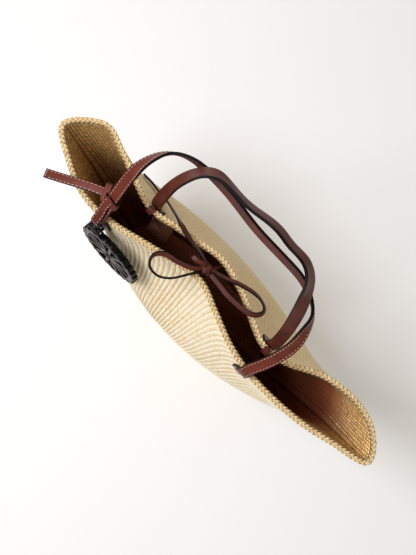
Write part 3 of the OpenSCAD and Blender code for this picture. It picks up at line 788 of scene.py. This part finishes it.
def addWall():
    # Both faces are grids over (u, v): the middle surface pushed out along its normal by half the wall,
    # plus cos(pi x)^1.5 of the place x across the rib, plus sin(pi y) of the place y across the row.
    # Rows rise towards the middle of each rib, so that each rib is a column of V-shaped stitches.
    perRib, perRow = 6, 3       # points across a rib and up a row
    columns, levels = bag["ribs"] * perRib, bag["rows"] * perRow
    i = np.arange(columns)[None, :]
    j = np.arange(levels + 1)[:, None]
    ribAt = np.mod(i / perRib, 1) - np.where(np.mod(i, perRib) > perRib / 2, 1, 0)     # -0.5 to 0.5
    zigzag = bag["zigzag"] / bag["rows"]
    v = j / levels
    v = v + (0.5 - 2 * np.abs(ribAt)) * zigzag * smooth(np.minimum(v, 1 - v) / 0.02)
    # each side's ribs fan out towards the rim: u = r + a sin(2 pi r) / (2 pi), and a fades to 0 at the rim
    r = i * 2 / columns
    u = r + bag["fan"] * (1 - np.clip(v, 0, 1) ** 2.5) * np.sin(2 * math.pi * r) / (2 * math.pi)
    middle, normal = wallAt(u, v), wallNormal(u, v)
    rib = np.abs(np.cos(math.pi * ribAt)) ** 1.5
    leg = np.where(np.mod(i, perRib / 2) == 0, 0.0, 1.0)
    row = np.sin(math.pi * np.mod(j / perRow, 1))
    ribCell, rowCell = np.floor(i / perRib + 0.5) % bag["ribs"], np.floor(j / perRow)
    own = bag["uneven"] * cellNoise(ribCell * 2 + (ribAt > 0), rowCell, 1) * row
    left, right, behind = bag["ribsAt"]
    # the back's low ribs also mark it for the painted shade in the straw's colour
    ribs = np.where(r < 1, left + (right - left) * smooth((r - 0.4) / 0.2), behind) + 0 * v
    outer = (bag["ribDepth"] * ribs * (rib - 0.6) + bag["rowDepth"] * (row - 0.6) * (0.4 + rib * 0.6)
             + own + bag["ribUneven"] * cellNoise(ribCell, 0, 2))
    inner = bag["legInside"] * (leg - 0.6) + bag["rowInside"] * (row - 0.6) * leg + own
    # the relief fades out at the base and at the rim, where the wall ends flat under the braid
    fade = smooth(np.minimum(v, 1 - v) / 0.015)
    half = bag["wall"] / 2
    outside = middle + normal * (half + (outer * fade)[..., None])
    within = middle - normal * (half + (inner * fade)[..., None])
    # painted shade: the inside darkens downwards, more slowly near both tips and sooner on the right of the
    # middle
    x = (middle[..., 0] - bag["middle"]) / halfLength
    slower = straw["tips"][0] * smooth((-x - 0.3) / 0.5) + straw["tips"][1] * smooth((x - 0.6) / 0.35)
    sooner = straw["shade"] * smooth((x + 0.1) / 0.4) * (1 - smooth((x - 0.62) / 0.25))
    depth = np.clip(0.06 + sooner + (1 - v) * straw["paintedShadeRate"] * (1 - slower), 0, 1)
    # the wall is cut into upright sectors, each a closed shell of its own
    per = columns // bag["sectors"]
    n, m = levels + 1, per + 1

    def between(edge):
        # quads from one edge of the outer face to the same edge of the inner one
        return stacked(n * m + edge[:-1], n * m + edge[1:], edge[1:], edge[:-1])

    face, across, up = gridFaces(n, m), np.arange(m), np.arange(n) * m
    groups = [face, face[:, ::-1] + n * m, between(across), between(across + (n - 1) * m)[:, ::-1],
              np.roll(between(up)[:, ::-1], 1, 1), np.roll(between(up + m - 1), 1, 1)]
    for k in range(bag["sectors"]):
        at = (k * per + np.arange(m)) % columns
        grid = stacked((k * per + across[None, :]) / perRib + 0.5, j / perRow).reshape(-1, 2)
        both = np.vstack([grid, grid + [0, 500.37]])        # the inner face has stitches of its own
        shape = Shape().add(np.concatenate([outside[:, at].reshape(-1, 3), within[:, at].reshape(-1, 3)]),
                            groups, [both[group] for group in groups],
                            depth=np.concatenate([np.zeros(n * m), depth[:, at].ravel()]),
                            ribs=np.tile(ribs[:, at].ravel(), 2))
        settle(shape.piece(f"straw_wall_{k + 1}", strawWeave), "straw", "basket", "basket_wall")


base = {
    "around": 256, "rings": 26, "each": 8,      # points round and across, and round one stitch
    "wave": 0.35, "waves": 12,      # mm up and down, and how many from the middle to the edge
    "lift": 0.45,                   # underside above the floor
}


def addBase():
    # concentric rings of the wall's foot line, drawn in towards the middle, woven above and below
    n, rings, each = base["around"], base["rings"], base["each"]
    u = np.arange(n) * 2 / n
    line = (wallAt(u, 0 * u) + wallOutward(u, 0 * u) * (bag["wall"] / 2 + 0.2))[:, :2]
    t = np.linspace(1, 0.03, rings)[:, None]
    i = np.arange(n)[None, :]
    wave = (base["wave"] * np.sin(2 * math.pi * t * base["waves"]) * np.cos(2 * math.pi * i / each)
            * smooth((1 - t) / 0.03))
    x, y = line[None, :, 0] * t, line[None, :, 1] * t
    top = stacked(x, y, bag["base"] + wave)
    low = stacked(x, y, np.maximum(base["lift"] + wave, 0.02))
    points = np.concatenate([top[::-1].reshape(-1, 3), low.reshape(-1, 3)])
    places = stacked(i / each, np.arange(2 * rings)[:, None] * 1.0).reshape(-1, 2)
    # the rings above lie inside the bag and take the full painted shade; the outermost one is the foot
    # line, where the outside's tone begins
    inside = np.arange(rings) < rings - 1
    depth = np.concatenate([np.repeat(inside * 1.0, n), np.zeros(rings * n)])
    groups = turned(cappedRings(2 * rings, n))
    piece = Shape().add(points, groups, [places[group] for group in groups], depth=depth) \
        .piece("straw_base", strawWeave)
    settle(piece, "straw", "basket", "basket_base")


rim = {
    "period": 15.0,         # mm of rim for one full turn of a strand
    "side": 2.2, "lift": 0.8, "raise": 0.4,     # how far each strand weaves, about a line raised by this
    "strand": (1.3, 0.95), "uneven": 0.12,
    "core": (2.5, 2.0), "coreDrop": 1.9,
    # gap is the painted shade where strands pass under, below and on the plait's inner side
    "pale": "fae8c0", "mid": "dcbf8a", "tan": "a87842", "gap": "2e170a",
    # the core's dark tone is painted shade between the strands
    "coreDark": "4f3218", "corePale": "9a7443",
}


def rimFinish():
    # u is mm along a strand and v is mm round it, so the noise is drawn out into fibres
    f = Finish("straw_braid", Specular_IOR_Level=0.3, Roughness=0.68)
    u, v = f.uv()
    fibre = f.noise(f.join(u * 0.12, v * 1.6), 1.5)
    tone = fibre * 0.45 + f.noise(f.join(u * 0.25, 0.0), 1.0, 2) * 0.55
    pale = f.ramp(tone, (0.3, tint(rim["tan"])), (0.5, tint(rim["mid"])), (0.68, tint(rim["pale"])))
    # painted shade where the strands pass under, below and inside
    f.set(Base_Color=f.mix(pale, tint(rim["gap"]), f.painted("under") * 0.9))
    f.bump(fibre, 0.6, 0.0003)
    return f


def coreFinish():
    f = Finish("straw_braid_core", Roughness=0.85)
    # mostly dark brown: painted shade between the strands
    dark, pale = tint(rim["coreDark"]), tint(rim["corePale"])
    f.set(Base_Color=f.ramp(f.noise(f.place(), 420, 2), (0.3, dark), (0.8, pale)))
    return f


def addRim():
    # three strands in a flat plait: side = A sin(a), height = B sin(2a), a third of a turn apart
    total = frontRun[-1] + backRun[-1]
    each = 16       # points for one full turn of a strand
    n = round(total / rim["period"]) * each
    k = np.arange(n)
    # even steps round the mouth
    s = k / n * total
    u = np.where(s < frontRun[-1], s / frontRun[-1], 1 + (s - frontRun[-1]) / backRun[-1])
    line, out = rimAt(u), wallOutward(u, np.ones(n))
    up = np.tile(zUp, (n, 1))
    braid, section = Shape(), circle(10)
    for strand in range(3):
        a = 2 * math.pi * (k / each + strand / 3)
        wobble = rim["uneven"] * cellNoise(np.floor(k / each * 2), strand, 5)
        path = (line + out * (rim["side"] * np.sin(a) + wobble)[:, None]
                + up * (rim["lift"] * np.sin(2 * a) + rim["raise"])[:, None])
        t = tangents(path, True)
        side = unit(np.cross(up, t))
        fat = 1 + rim["uneven"] * cellNoise(np.floor(k / each * 2 + strand * 2 / 3), strand, 9)
        rings = section[None] * rim["strand"] * fat[:, None, None]
        # painted shade: dark where the strand dives under its neighbours, on its underside and on the
        # plait's inner side
        under = (smooth((0.1 - np.sin(2 * a)) / 0.9)[:, None] * 0.8
                 + smooth((-0.25 - section[None, :, 1]) / 0.75) * 0.5
                 + smooth((-0.6 - np.sin(a)) / 0.35)[:, None] * 0.6)
        braid.add(*sweep((path, unit(np.cross(t, side)), side), rings, True), under=np.clip(under, 0, 1))
    settle(braid.piece("rim_strands", rimFinish()), "straw", "basket", "rim_braid")
    # a rod inside the plait closes the view between its strands; its dark colour is painted shade there
    side = unit(np.cross(up, tangents(line, True)))
    rod = sweep((line - zUp * rim["coreDrop"], up, side), section * rim["core"], True)
    settle(Shape().add(*rod).piece("rim_core", coreFinish()), "straw", "basket")


addWall()
print("wall woven")
addBase()
addRim()
print("base and rim made")

# straps: the same lines as in the frame's model, each one run from foot to arch to foot

strap = {
    "width": 13, "thick": 3, "foot": 40, "seat": 0.8, "backSeat": 1.7,
    "frontSpan": 219, "frontRise": 147, "frontLean": 42, "frontMiddle": -18.5,
    "backSpan": 191, "backRise": 184, "backLean": 16.5, "backMiddle": -4.5,
    "crease": 1.9,          # stitching channel, from each edge
    "corner": 0.5, "paint": 0.55,           # rounding of the edges, and how far their paint comes in
    "crown": 0.1, "liningCrown": 0.06,      # how far the middle of each face stands up
    "footStitches": 3, "footRow": 0.26,     # across each foot, to this share of the width on each side
    "footStitch": (1.5, 0.3),               # half its length and half its thickness
    "bend": (-3, 11),       # from just under the fold to above it, where the strap turns with the handle
    "room": (0.4, 1),       # between the fold and the rim's tabs, outwards and upwards
    "below": 7.5,           # from the fold down to where the strap meets its foot
}
tabs = {
    "width": 8, "thick": 1.5, "start": 17, "end": 32, "seat": 0.7,
    "corner": 0.4, "crown": 0.05, "paint": 0.3,
    "over": (190, 160, 130, 100, 70),       # degrees round the braid, from inside to outside
}
# along the span and up the rise in hundredths, and the face's turn about the line in degrees
frontArch = [(0, 0, 0), (-0.2, 7, 0), (-0.8, 18, 0), (-1.5, 31, 0), (-2, 51, 10), (-0.8, 67, 50),
             (2.3, 81.6, 83), (6.9, 92.3, 118), (14, 99, 138), (22, 101.3, 152), (36, 101.7, 156),
             (54, 98.7, 156), (70, 98.8, 156), (82, 98.6, 154), (90, 94.2, 140), (97, 86.8, 113),
             (101, 74, 67), (104, 56, 25), (104, 38, 5), (102.5, 22, 0), (100.5, 9, 0), (100, 0, 0)]
backArch = [(0, 0, 0), (0, 6.6, 0), (0.3, 21.6, 15), (1.7, 40.2, 38), (4.7, 58.6, 55), (8.7, 73.7, 76),
            (13.8, 83.8, 98), (20, 88.5, 128), (29, 89.6, 135), (35, 90.7, 131), (41.4, 94, 127),
            (47.4, 97.7, 127), (54, 99.7, 127), (62, 98.6, 127), (69, 100.3, 125), (74.6, 98.1, 116),
            (80.6, 89.4, 94), (85.4, 75.5, 65), (90.7, 56.5, 35), (96.2, 30.7, 10), (99.5, 8.4, 0),
            (100, 0, 0)]
braidR = bag["braid"] / 2
foldOut = braidR + strap["seat"] + strap["thick"] / 2 + strap["room"][0]
foldUp = braidR + tabs["thick"] + strap["room"][1]


def footPlaces(back):
    side = "back" if back else "front"
    middle, span = strap[side + "Middle"], strap[side + "Span"]
    return [middle - span / 2, middle + span / 2]


def foldPoint(x, back):
    # both folds of a handle are level, above the higher of its two places on the rim
    z = max(float(rimHeight(foot)) for foot in footPlaces(back)) + foldUp
    y = float(mouthAt(placeOnSide(x, back))[1]) + (foldOut if back else -foldOut)
    return np.array([x, y, z])


frontFolds = [foldPoint(x, False) for x in footPlaces(False)]
backFolds = [foldPoint(x, True) for x in footPlaces(True)]


def footLine(x, back):
    # up the outside of the wall from the foot's end; columns are the point and the way its face looks
    u = placeOnSide(x, back)
    fold = foldPoint(x, back)
    top = float(wallTop(u)) - bag["base"]
    ends = np.array([fold[2] - strap["foot"], float(rimAt(u)[2]) - 2 * braidR])
    v = np.linspace(*(ends - bag["base"]) / top, 6)
    n = wallNormal(u + 0 * v, v)
    off = bag["wall"] / 2 + (strap["backSeat"] if back else strap["seat"]) + strap["thick"] / 2
    sewn = np.hstack([wallAt(u + 0 * v, v) + n * off, n])
    out = [0, 1.0 if back else -1.0, 0]
    return np.vstack([sewn, np.concatenate([fold - zUp * strap["below"], out])])


def strapLine(arch, folds, rise, lean, back):
    # The arch stands on the line between the folds, leaned over by some degrees. Its ends run into the two
    # foot lines, and the joined line is made even and its corners are taken out.
    span = np.linalg.norm(folds[1] - folds[0])
    along = unit(folds[1] - folds[0])
    up = turnAbout(zUp, along, -lean)
    flat = curveThrough(np.array(arch) * [span / 100, rise / 100, 1], 6)
    path = folds[0] + along * flat[:, :1] + up * flat[:, 1:2]
    front = np.tile(np.cross(along, up), (len(path), 1))
    faces = (-1 if back else 1) * turnAbout(front, tangents(path), -flat[:, 2])
    rows = np.hstack([path, faces])
    left, right = [footLine(fold[0], back) for fold in folds]
    rows = np.vstack([curveThrough(np.vstack([left, rows[3:4]]), 6)[:-1], rows[3:-3],
                      curveThrough(np.vstack([rows[-4:-3], right[::-1]]), 6)[1:]])
    rows = evenly(rows, 3.0)
    for _ in range(3):
        rows[1:-1] = (rows[:-2] + 2 * rows[1:-1] + rows[2:]) / 4
    return framesAlong(rows[:, :3], unit(rows[:, 3:]))


def overFold(piece):
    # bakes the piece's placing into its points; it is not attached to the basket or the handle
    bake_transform(piece)


def addStrap(side, frames):
    # leather layer, lining layer and both lines of stitching
    h = strap["thick"] / 2
    width, corner, paint = strap["width"], strap["corner"], strap["paint"]
    face = stripProfile(width, 0, h, corner, strap["crown"], paint, strap["crease"])
    low, edge = stripProfile(width, 0, h, corner, strap["liningCrown"], paint)
    outer = strip(Shape(), frames, face).piece(side + "_strap_leather", faceLeather, edgePaint)
    lining = strip(Shape(), frames, (-low, edge)).piece(side + "_strap_lining", liningLeather, edgePaint)
    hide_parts(f"{side}_handle_leather", f"{side}_foot_left", f"{side}_foot_right")
    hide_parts(f"{side}_handle_lining")
    thread = Shape()
    for across in (-1, 1):
        stitchLine(thread, frames, across * (width / 2 - strap["crease"]), h - 0.02)
    # a row of stitches across each foot
    centres, outs, sides = frames
    x = np.linspace(-1, 1, strap["footStitches"])[:, None] * strap["footRow"] * width
    long, thin = strap["footStitch"]
    for at in (2, len(centres) - 3):
        beads(thread, centres[at] + sides[at] * x + outs[at] * (h + 0.1), sides[at] * long,
              outs[at] * thin, np.cross(sides[at], outs[at]) * thin)
    stitches = thread.piece(side + "_strap_stitches", stitchThread)
    for piece, slot in ((outer, "leather"), (lining, "lining"), (stitches, "leather")):
        overFold(piece)


frontFrames = strapLine(frontArch, frontFolds, strap["frontRise"], strap["frontLean"], False)
backFrames = strapLine(backArch, backFolds, strap["backRise"], strap["backLean"], True)
addStrap("front", frontFrames)
addStrap("back", backFrames)
print("straps made")


def addTab(name, x, back, node):
    # narrow tab inside the wall, over the braid to the foot
    u = placeOnSide(x, back)
    out = wallOutward(np.array(u), np.array(1.0))
    rimMiddle = rimAt(u)
    r = braidR + bag["gap"] + tabs["thick"] / 2
    v = np.linspace(1 - tabs["end"] / bag["height"], 1 - tabs["start"] / bag["height"], 3)
    n = wallNormal(u + 0 * v, v)
    inside = wallAt(u + 0 * v, v) - n * (bag["wall"] / 2 + tabs["seat"] + tabs["thick"] / 2)
    a = np.radians(tabs["over"])[:, None]
    over = rimMiddle + r * (np.cos(a) * out + np.sin(a) * zUp)
    frames = framesThrough(np.vstack([inside, over]), np.vstack([-n, unit(over - rimMiddle)]), 6, 1.2)
    section = bothFaces(tabs["width"], tabs["thick"], tabs["corner"], tabs["crown"], tabs["paint"])
    shape = strip(Shape(), frames, section)
    settle(shape.piece(name, liningLeather, edgePaint), "lining", "basket", node)


for side, back in (("front", False), ("back", True)):
    for end, x in zip(("left", "right"), footPlaces(back)):
        addTab(f"{side}_tab_{end}_strip", x, back, f"{side}_tab_{end}")
print("tabs made")

# lanyard on the front handle's left leg: keeper round the leg, loop on edge beside it, free tail,
# and the doubled strap that runs down over the rim to the charm

lanyard = {
    "width": 10, "thick": 2.5, "crease": 1.5, "corner": 0.5, "crown": 0.1, "paint": 0.5,
    "bandCrown": 0.2, "bandPaint": 0.35,        # of the keeper and the loop
    "endRow": 2.4, "endStitch": 1.1,            # the three stitches at the free end: spacing, half length
    "keeper": (26, 35),     # from and to, up the leg
    "keeperThick": 2, "keeperGap": 1, "keeperCorner": 2.6,
    "drift": -2.1,          # of the leg's middle from the straight line up from its fold
    "loopAt": -2.5, "loopWidth": 8, "loopThick": 1.8, "loopRoom": (8, 2.4), "loopCorner": 2.1,
}
tailSteps = [(6.8, 2.8, 2), (-15.5, -7.5, -5), (-30, -15.5, -10), (-44.5, -23.3, -16.5), (-59.5, -31, -24)]
frontAlong = unit(frontFolds[1] - frontFolds[0])
frontUp = turnAbout(zUp, frontAlong, -strap["frontLean"])
frontFace = np.cross(frontAlong, frontUp)


def onLeg(x, y, z):
    # y goes back through the leg, z up along it
    return frontFolds[0] + frontAlong * x - frontFace * y + frontUp * z


keeperMiddle = onLeg(lanyard["drift"], 0, sum(lanyard["keeper"]) / 2)
tailRoot = keeperMiddle - [strap["width"] / 2 + lanyard["keeperGap"] + lanyard["keeperThick"] + 2.5, -2, 2]
tailRoute = tailRoot + np.array(tailSteps)


def roundedBox(w, h, r, steps=6):
    # closed outline of a rectangle with rounded corners, anticlockwise
    a = np.linspace(0, math.pi / 2, steps)
    corners = [((w / 2 - r) * sx, (h / 2 - r) * sy, a + q * math.pi / 2)
               for q, (sx, sy) in enumerate(((1, 1), (-1, 1), (-1, -1), (1, -1)))]
    return np.vstack([stacked(x + r * np.cos(b), y + r * np.sin(b)) for x, y, b in corners])


def addBand(name, path, middle, width, thick, node):
    # closed band of leather that moves with the front handle
    section = bothFaces(width, thick, lanyard["corner"], lanyard["bandCrown"], lanyard["bandPaint"])
    shape = strip(Shape(), framesRound(path, middle), section, True)
    settle(shape.piece(name, faceLeather, edgePaint), "leather", "front_handle", node)


def addKeeper():
    # a band of strap wound round the leg
    w = strap["width"] + 2 * lanyard["keeperGap"] + lanyard["keeperThick"]
    d = strap["thick"] + 2 * bag["gap"] + lanyard["keeperThick"]
    low, high = lanyard["keeper"]
    path = np.stack([onLeg(lanyard["drift"] + x, -y, (low + high) / 2)
                     for x, y in roundedBox(w, d, lanyard["keeperCorner"])])
    addBand("lanyard_keeper_band", path, keeperMiddle, high - low, lanyard["keeperThick"], "lanyard_keeper")


def addLoop():
    # strap standing on edge round the tail
    along = unit(tailRoute[1] - tailRoute[0])
    middle = tailRoot + along * lanyard["loopAt"]
    side = unit(np.cross(zUp, along))
    wide, tall = np.array([lanyard["width"], lanyard["thick"]]) + lanyard["loopRoom"]
    outline = roundedBox(wide, tall, lanyard["loopCorner"])
    path = middle + outline[:, :1] * side + outline[:, 1:] * np.cross(along, side)
    addBand("lanyard_loop_band", path, middle, lanyard["loopWidth"], lanyard["loopThick"], "lanyard_loop")


def lanyardStrip(frames, h):
    # strip of the lanyard's width with a line of stitches in each crease
    section = stripProfile(lanyard["width"], -h, h, lanyard["corner"], lanyard["crown"], lanyard["paint"],
                           lanyard["crease"])
    shape = strip(Shape(), frames, section)
    for across in (-1, 1):
        stitchLine(shape, frames, across * (lanyard["width"] / 2 - lanyard["crease"]), h - 0.02, 2)
    return shape


def addTail():
    frames = framesThrough(tailRoute, [zUp] * len(tailRoute), 8, 2.0)
    h = lanyard["thick"] / 2
    shape = lanyardStrip(frames, h)
    # three stitches across the free end
    centre, out, side = (part[-2] for part in frames)
    middles = centre + side * np.array([-1, 0, 1])[:, None] * lanyard["endRow"] + out * (h + 0.06)
    half = stitch["thick"] / 2
    beads(shape, middles, side * lanyard["endStitch"], out * half, np.cross(side, out) * half, 2)
    piece = shape.piece("lanyard_tail_strap", faceLeather, edgePaint, stitchThread)
    settle(piece, "leather", "front_handle", "lanyard_tail")


# charm: a wheel of rays in thick polished leather, hung on a pin below the left foot

charm = {
    "radius": 40, "thick": 8, "rays": 12, "tab": 2, "lean": 8, "side": -28,
    "eye": 4, "eyeBore": 1.6, "eyeWidth": 9, "ear": 3, "neckThick": 5,
    "ringInside": 0.83, "hub": (0.12, 0.3), "dish": 0.5,        # shares of the radius, and mm
    "rayWidth": 4.4, "notchWidth": 5,
    "plate": 2, "plateHeight": 12,
    "face": "130e0f", "shine": "35272a", "edge": "030303", "lip": "9c8486", "pin": "c9c4bd",
}
hingeHalf = charm["eyeWidth"] / 2 + bag["gap"] + charm["ear"] + 1
eyeUp = math.sqrt((charm["radius"] + charm["tab"] + charm["eye"] + bag["gap"]) ** 2
                  - (-charm["side"] - hingeHalf) ** 2)
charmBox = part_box("charm_pin")
pinAt = (np.array(charmBox[0]) + np.array(charmBox[1])) / 2 / mm


def onCharm(x, y, z):
    # the charm's own plane: x across, y up, z out of its face
    a = math.radians(90 - charm["lean"])
    return stacked(pinAt[0] + x, pinAt[1] + y * math.cos(a) - z * math.sin(a),
                   pinAt[2] + y * math.sin(a) + z * math.cos(a))


def bevelBox(length, width, thick, r):
    # box with a rounded-off rim on its face and back: points and faces about the origin
    outline = roundedBox(length, width, r, 4)
    h = thick / 2
    steps = [(0.7, -h), (0.25, 0.3 - h), (0, 0.8 - h), (0, h - 0.8), (0.25, h - 0.3), (0.7, h)]
    rings = []
    for inset, z in steps:
        shrunk = np.maximum(np.abs(outline) - inset, 0) * np.sign(outline)
        rings.append(stacked(*shrunk.T, z))
    return np.stack(rings), cappedRings(len(steps), len(outline))


def charmFinish():
    # black on the cut edges, a little browner on the face, with a pale painted highlight on the lips
    f = Finish("charm_polish", Coat_Weight=0.06, Coat_Roughness=0.1, Specular_IOR_Level=0.14)
    place = f.place()
    slow = f.noise(place, 60, 2)
    face = f.ramp(slow, (0.3, tint(charm["face"])), (0.7, tint(charm["shine"])))
    skin = f.mix(face, tint(charm["edge"]), f.painted("edge") > 0.5)
    # painted highlight along the lips
    f.set(Base_Color=f.mix(skin, tint(charm["lip"]), f.painted("lip").ease(0.5, 1.0) * 0.7),
          Roughness=0.24 + slow * 0.16)
    f.bump(f.noise(place, 700), 0.15, 0.0002)
    return f


def addCharm():
    shape = Shape()
    r, thick, t = charm["radius"], charm["thick"], charm["thick"] / 2
    cx, cy = -charm["side"], -eyeUp
    ringInside, hubIn, hubOut = (r * share for share in (charm["ringInside"], *charm["hub"]))

    def ring(inner, outer, n):
        # turned section with rounded corners, and a shallow channel in the face between two lips
        b, low = 0.8, t - charm["dish"]
        section = np.array([(inner, b - t), (inner + b, -t), (outer - b, -t), (outer, b - t),
                            (outer, t - b), (outer - b * 0.3, t - b * 0.3), (outer - b, t),
                            (outer - 2 * b, low), (inner + 2 * b, low),
                            (inner + b, t), (inner + b * 0.3, t - b * 0.3), (inner, t - b)])
        a = fullTurn(n)[:, None]
        out, z = section.T
        face = (z > t - b * 0.5) & (out > inner + b * 0.6) & (out < outer - b * 0.6)
        # the crown of each lip carries a pale painted highlight
        shape.add(onCharm(cx + out * np.cos(a), cy + out * np.sin(a), z),
                  [gridFaces(n, len(section), True, True)],
                  edge=np.tile(1.0 - face, n), lip=np.tile((z == t) * 1.0, n))

    def bars(count, start, end, width, thick, corner, faceDrop):
        # the same bar all round, from start to end; its face is what lies less than faceDrop from the front
        points, groups = bevelBox(end - start, width, thick, corner)
        x, y, z = points[..., 0] + (start + end) / 2, points[..., 1], points[..., 2]
        for a in fullTurn(count):
            acrossAt, upAt = x * math.cos(a) - y * math.sin(a), x * math.sin(a) + y * math.cos(a)
            shape.add(onCharm(cx + acrossAt, cy + upAt, z), groups, edge=1.0 - (z > t - faceDrop))

    ring(ringInside, r, 144)
    ring(hubIn, hubOut, 72)
    sunk, tab, count = 1.5, charm["tab"], charm["rays"]      # the rays' ends are sunk in both rings
    bars(count, hubOut - sunk, ringInside + sunk, charm["rayWidth"], thick - 0.6, 0.6, 0.7)
    bars(2 * count, r - tab - 1, r + tab, charm["notchWidth"], thick - 0.05, 0.7, 0.4)
    # neck and eye
    neck = eyeUp - math.sqrt((r - 4) ** 2 - (-charm["side"] - charm["eyeWidth"] / 2) ** 2)
    points, groups = bevelBox(charm["eyeWidth"], neck - 1.5, charm["neckThick"], 0.8)
    shape.add(onCharm(points[..., 0], points[..., 1] - neck / 2 - 1.5, points[..., 2]), groups,
              edge=np.ones(points[..., 0].size))
    n, b, w, inner, outer = 40, 0.6, charm["eyeWidth"] / 2, charm["eyeBore"], charm["eye"]
    section = np.array([(inner, 0.3 - w), (inner + 0.3, -w), (outer - b, -w), (outer, b - w),
                        (outer, w - b), (outer - b, w), (inner + 0.3, w), (inner, w - 0.3)])
    a = fullTurn(n)[:, None]
    out, across = section.T
    points = stacked(pinAt[0] + across, pinAt[1] + out * np.cos(a), pinAt[2] + out * np.sin(a))
    shape.add(points, turned([gridFaces(n, len(section), True, True)]), edge=np.ones(n * len(section)))
    settle(shape.piece("charm_wheel", charmFinish()), "charm_black", "charm", "charm")


def addHanger():
    # plate on the foot, with an ear at each end of the eye
    shape = Shape()
    back = charm["eye"] + bag["gap"]
    width = charm["eyeWidth"] + 2 * charm["ear"] + 2 * bag["gap"]
    points, groups = bevelBox(width, charm["plateHeight"], charm["plate"], 1.2)
    x, y, z = points[..., 0], points[..., 1], points[..., 2]
    shape.add(stacked(pinAt[0] + x, pinAt[1] + back + charm["plate"] / 2 - z, pinAt[2] + y), groups,
              slot=[1, 0, 0])
    # ear outline: round about the pin, square at the plate
    e, h, b = charm["eye"], charm["ear"] / 2, 0.5
    a = np.linspace(-math.pi / 2, math.pi / 2, 18)
    outline = np.vstack([[[-back - 1.2, -e]], stacked(e * np.cos(a), e * np.sin(a)), [[-back - 1.2, e]]])
    steps = [(b, -h), (0, b - h), (0, h - b), (b, h)]
    rings = np.stack([stacked(z, *(outline * (1 - inset / e)).T) for inset, z in steps])
    groups = turned(cappedRings(len(steps), len(outline)))
    for s in (-1, 1):
        middle = pinAt + [s * (charm["eyeWidth"] + charm["ear"] + 2 * bag["gap"]) / 2, 0, 0]
        shape.add(middle + rings * [1, -1, 1], groups, slot=[1, 0, 0])
    settle(shape.piece("charm_hanger_plate", faceLeather, edgePaint), "leather", "basket", "charm_hanger")


def addHangerStrap():
    # from under the keeper down the leg's face, over the fold, to the charm's hanger
    low, high = lanyard["keeper"]
    off = -(strap["thick"] / 2 + 1.9)
    drift, fold = lanyard["drift"], frontFolds[0]
    route = [onLeg(drift - 1, off, high + 1), onLeg(drift - 2, off, low - 3),
             onLeg(-2, off - 0.6, low - 14), fold + [-1.0, -4.6, 2.5],
             fold + [0.5, -5.0, -6.5], fold + [1, -4.4, -15]]
    faces = [frontFace] * 3 + [[0, -1, 0.25], [0, -1, 0], [0, -1, 0]]
    shape = lanyardStrip(framesThrough(route, faces, 8, 1.5), lanyard["thick"] / 2 - 0.1)
    piece = shape.piece("lanyard_hanger_strap", faceLeather, edgePaint, stitchThread)
    overFold(piece)


def polishPin():
    # brushed steel on the frame's own pin: the noise is drawn out along its length
    steel = Finish("pin_steel", Metallic=1.0)
    drawn = steel.node("ShaderNodeVectorMath", {"operation": "MULTIPLY"},
                       {0: steel.place(), 1: (60.0, 2200.0, 2200.0)})
    brushed = steel.noise(drawn, 1.0, 2)
    steel.set(Base_Color=steel.scale(tint(charm["pin"]), 0.8 + brushed * 0.3),
              Roughness=0.25 + brushed * 0.2)
    for slot in nodes["charm_pin"].material_slots:
        slot.material = steel.material


addKeeper()
addTail()
addLoop()
addCharm()
addHanger()
addHangerStrap()
polishPin()
print("lanyard and charm made")

# pale floor and soft light

room = {
    "floor": 6.0,           # m across
    "floorColour": "ece9e4",
    "lift": 0.13, "liftColour": (0.82, 0.93, 1.0),         # paleness that only the camera sees
    "key": 20.0, "keySize": 0.7, "keyPlace": (-0.64, -0.50, 1.50), "keyAim": (0, 0, 0.15),
    "keyColour": (0.96, 0.985, 1.09),
    "world": 0.48, "worldColour": (1.0, 0.93, 0.85),
}


def floorFinish():
    # the lift is a weak glow for the camera, and for what glass and metal show of the floor
    f = Finish("floor_paint", Roughness=0.9, Specular_IOR_Level=0.1)
    f.set(Base_Color=f.scale(tint(room["floorColour"]), 0.98 + 0.04 * f.noise(f.place(), 3, 2)))
    camera, glossy, through = (f.node("ShaderNodeLightPath", {}, {}, f"Is {kind} Ray")
                               for kind in ("Camera", "Glossy", "Transmission"))
    glow = f.node("ShaderNodeEmission", {}, {"Color": room["liftColour"],
                                             "Strength": (camera + glossy + through) * room["lift"]})
    both = f.node("ShaderNodeAddShader", {}, {0: Link(f.tree, f.shader.outputs[0]), 1: glow})
    plug(f.tree, f.tree.nodes["Material Output"].inputs["Surface"], both)
    return f


def addRoom():
    half = room["floor"] / 2
    mesh = bpy.data.meshes.new("floor")
    corners = [(-half, -half, 0), (half, -half, 0), (half, half, 0), (-half, half, 0)]
    mesh.from_pydata(corners, [], [(0, 1, 2, 3)])
    mesh.materials.append(floorFinish().material)
    floor = bpy.data.objects.new("floor", mesh)
    scene.collection.objects.link(floor)
    lamp = bpy.data.lights.new("window", "AREA")
    lamp.shape, lamp.size, lamp.energy = "DISK", room["keySize"], room["key"]
    lamp.color = room["keyColour"]
    key = bpy.data.objects.new("window", lamp)
    key.location = room["keyPlace"]
    key.rotation_euler = (Vector(room["keyAim"]) - key.location).to_track_quat("-Z", "Y").to_euler()
    scene.collection.objects.link(key)
    world = bpy.data.worlds.new("room")
    world.use_nodes = True
    sky = world.node_tree.nodes["Background"]
    plug(world.node_tree, sky.inputs["Color"], room["worldColour"])
    plug(world.node_tree, sky.inputs["Strength"], room["world"])
    scene.world = world


addRoom()
scene.view_settings.view_transform = "Standard"
print("room lit")
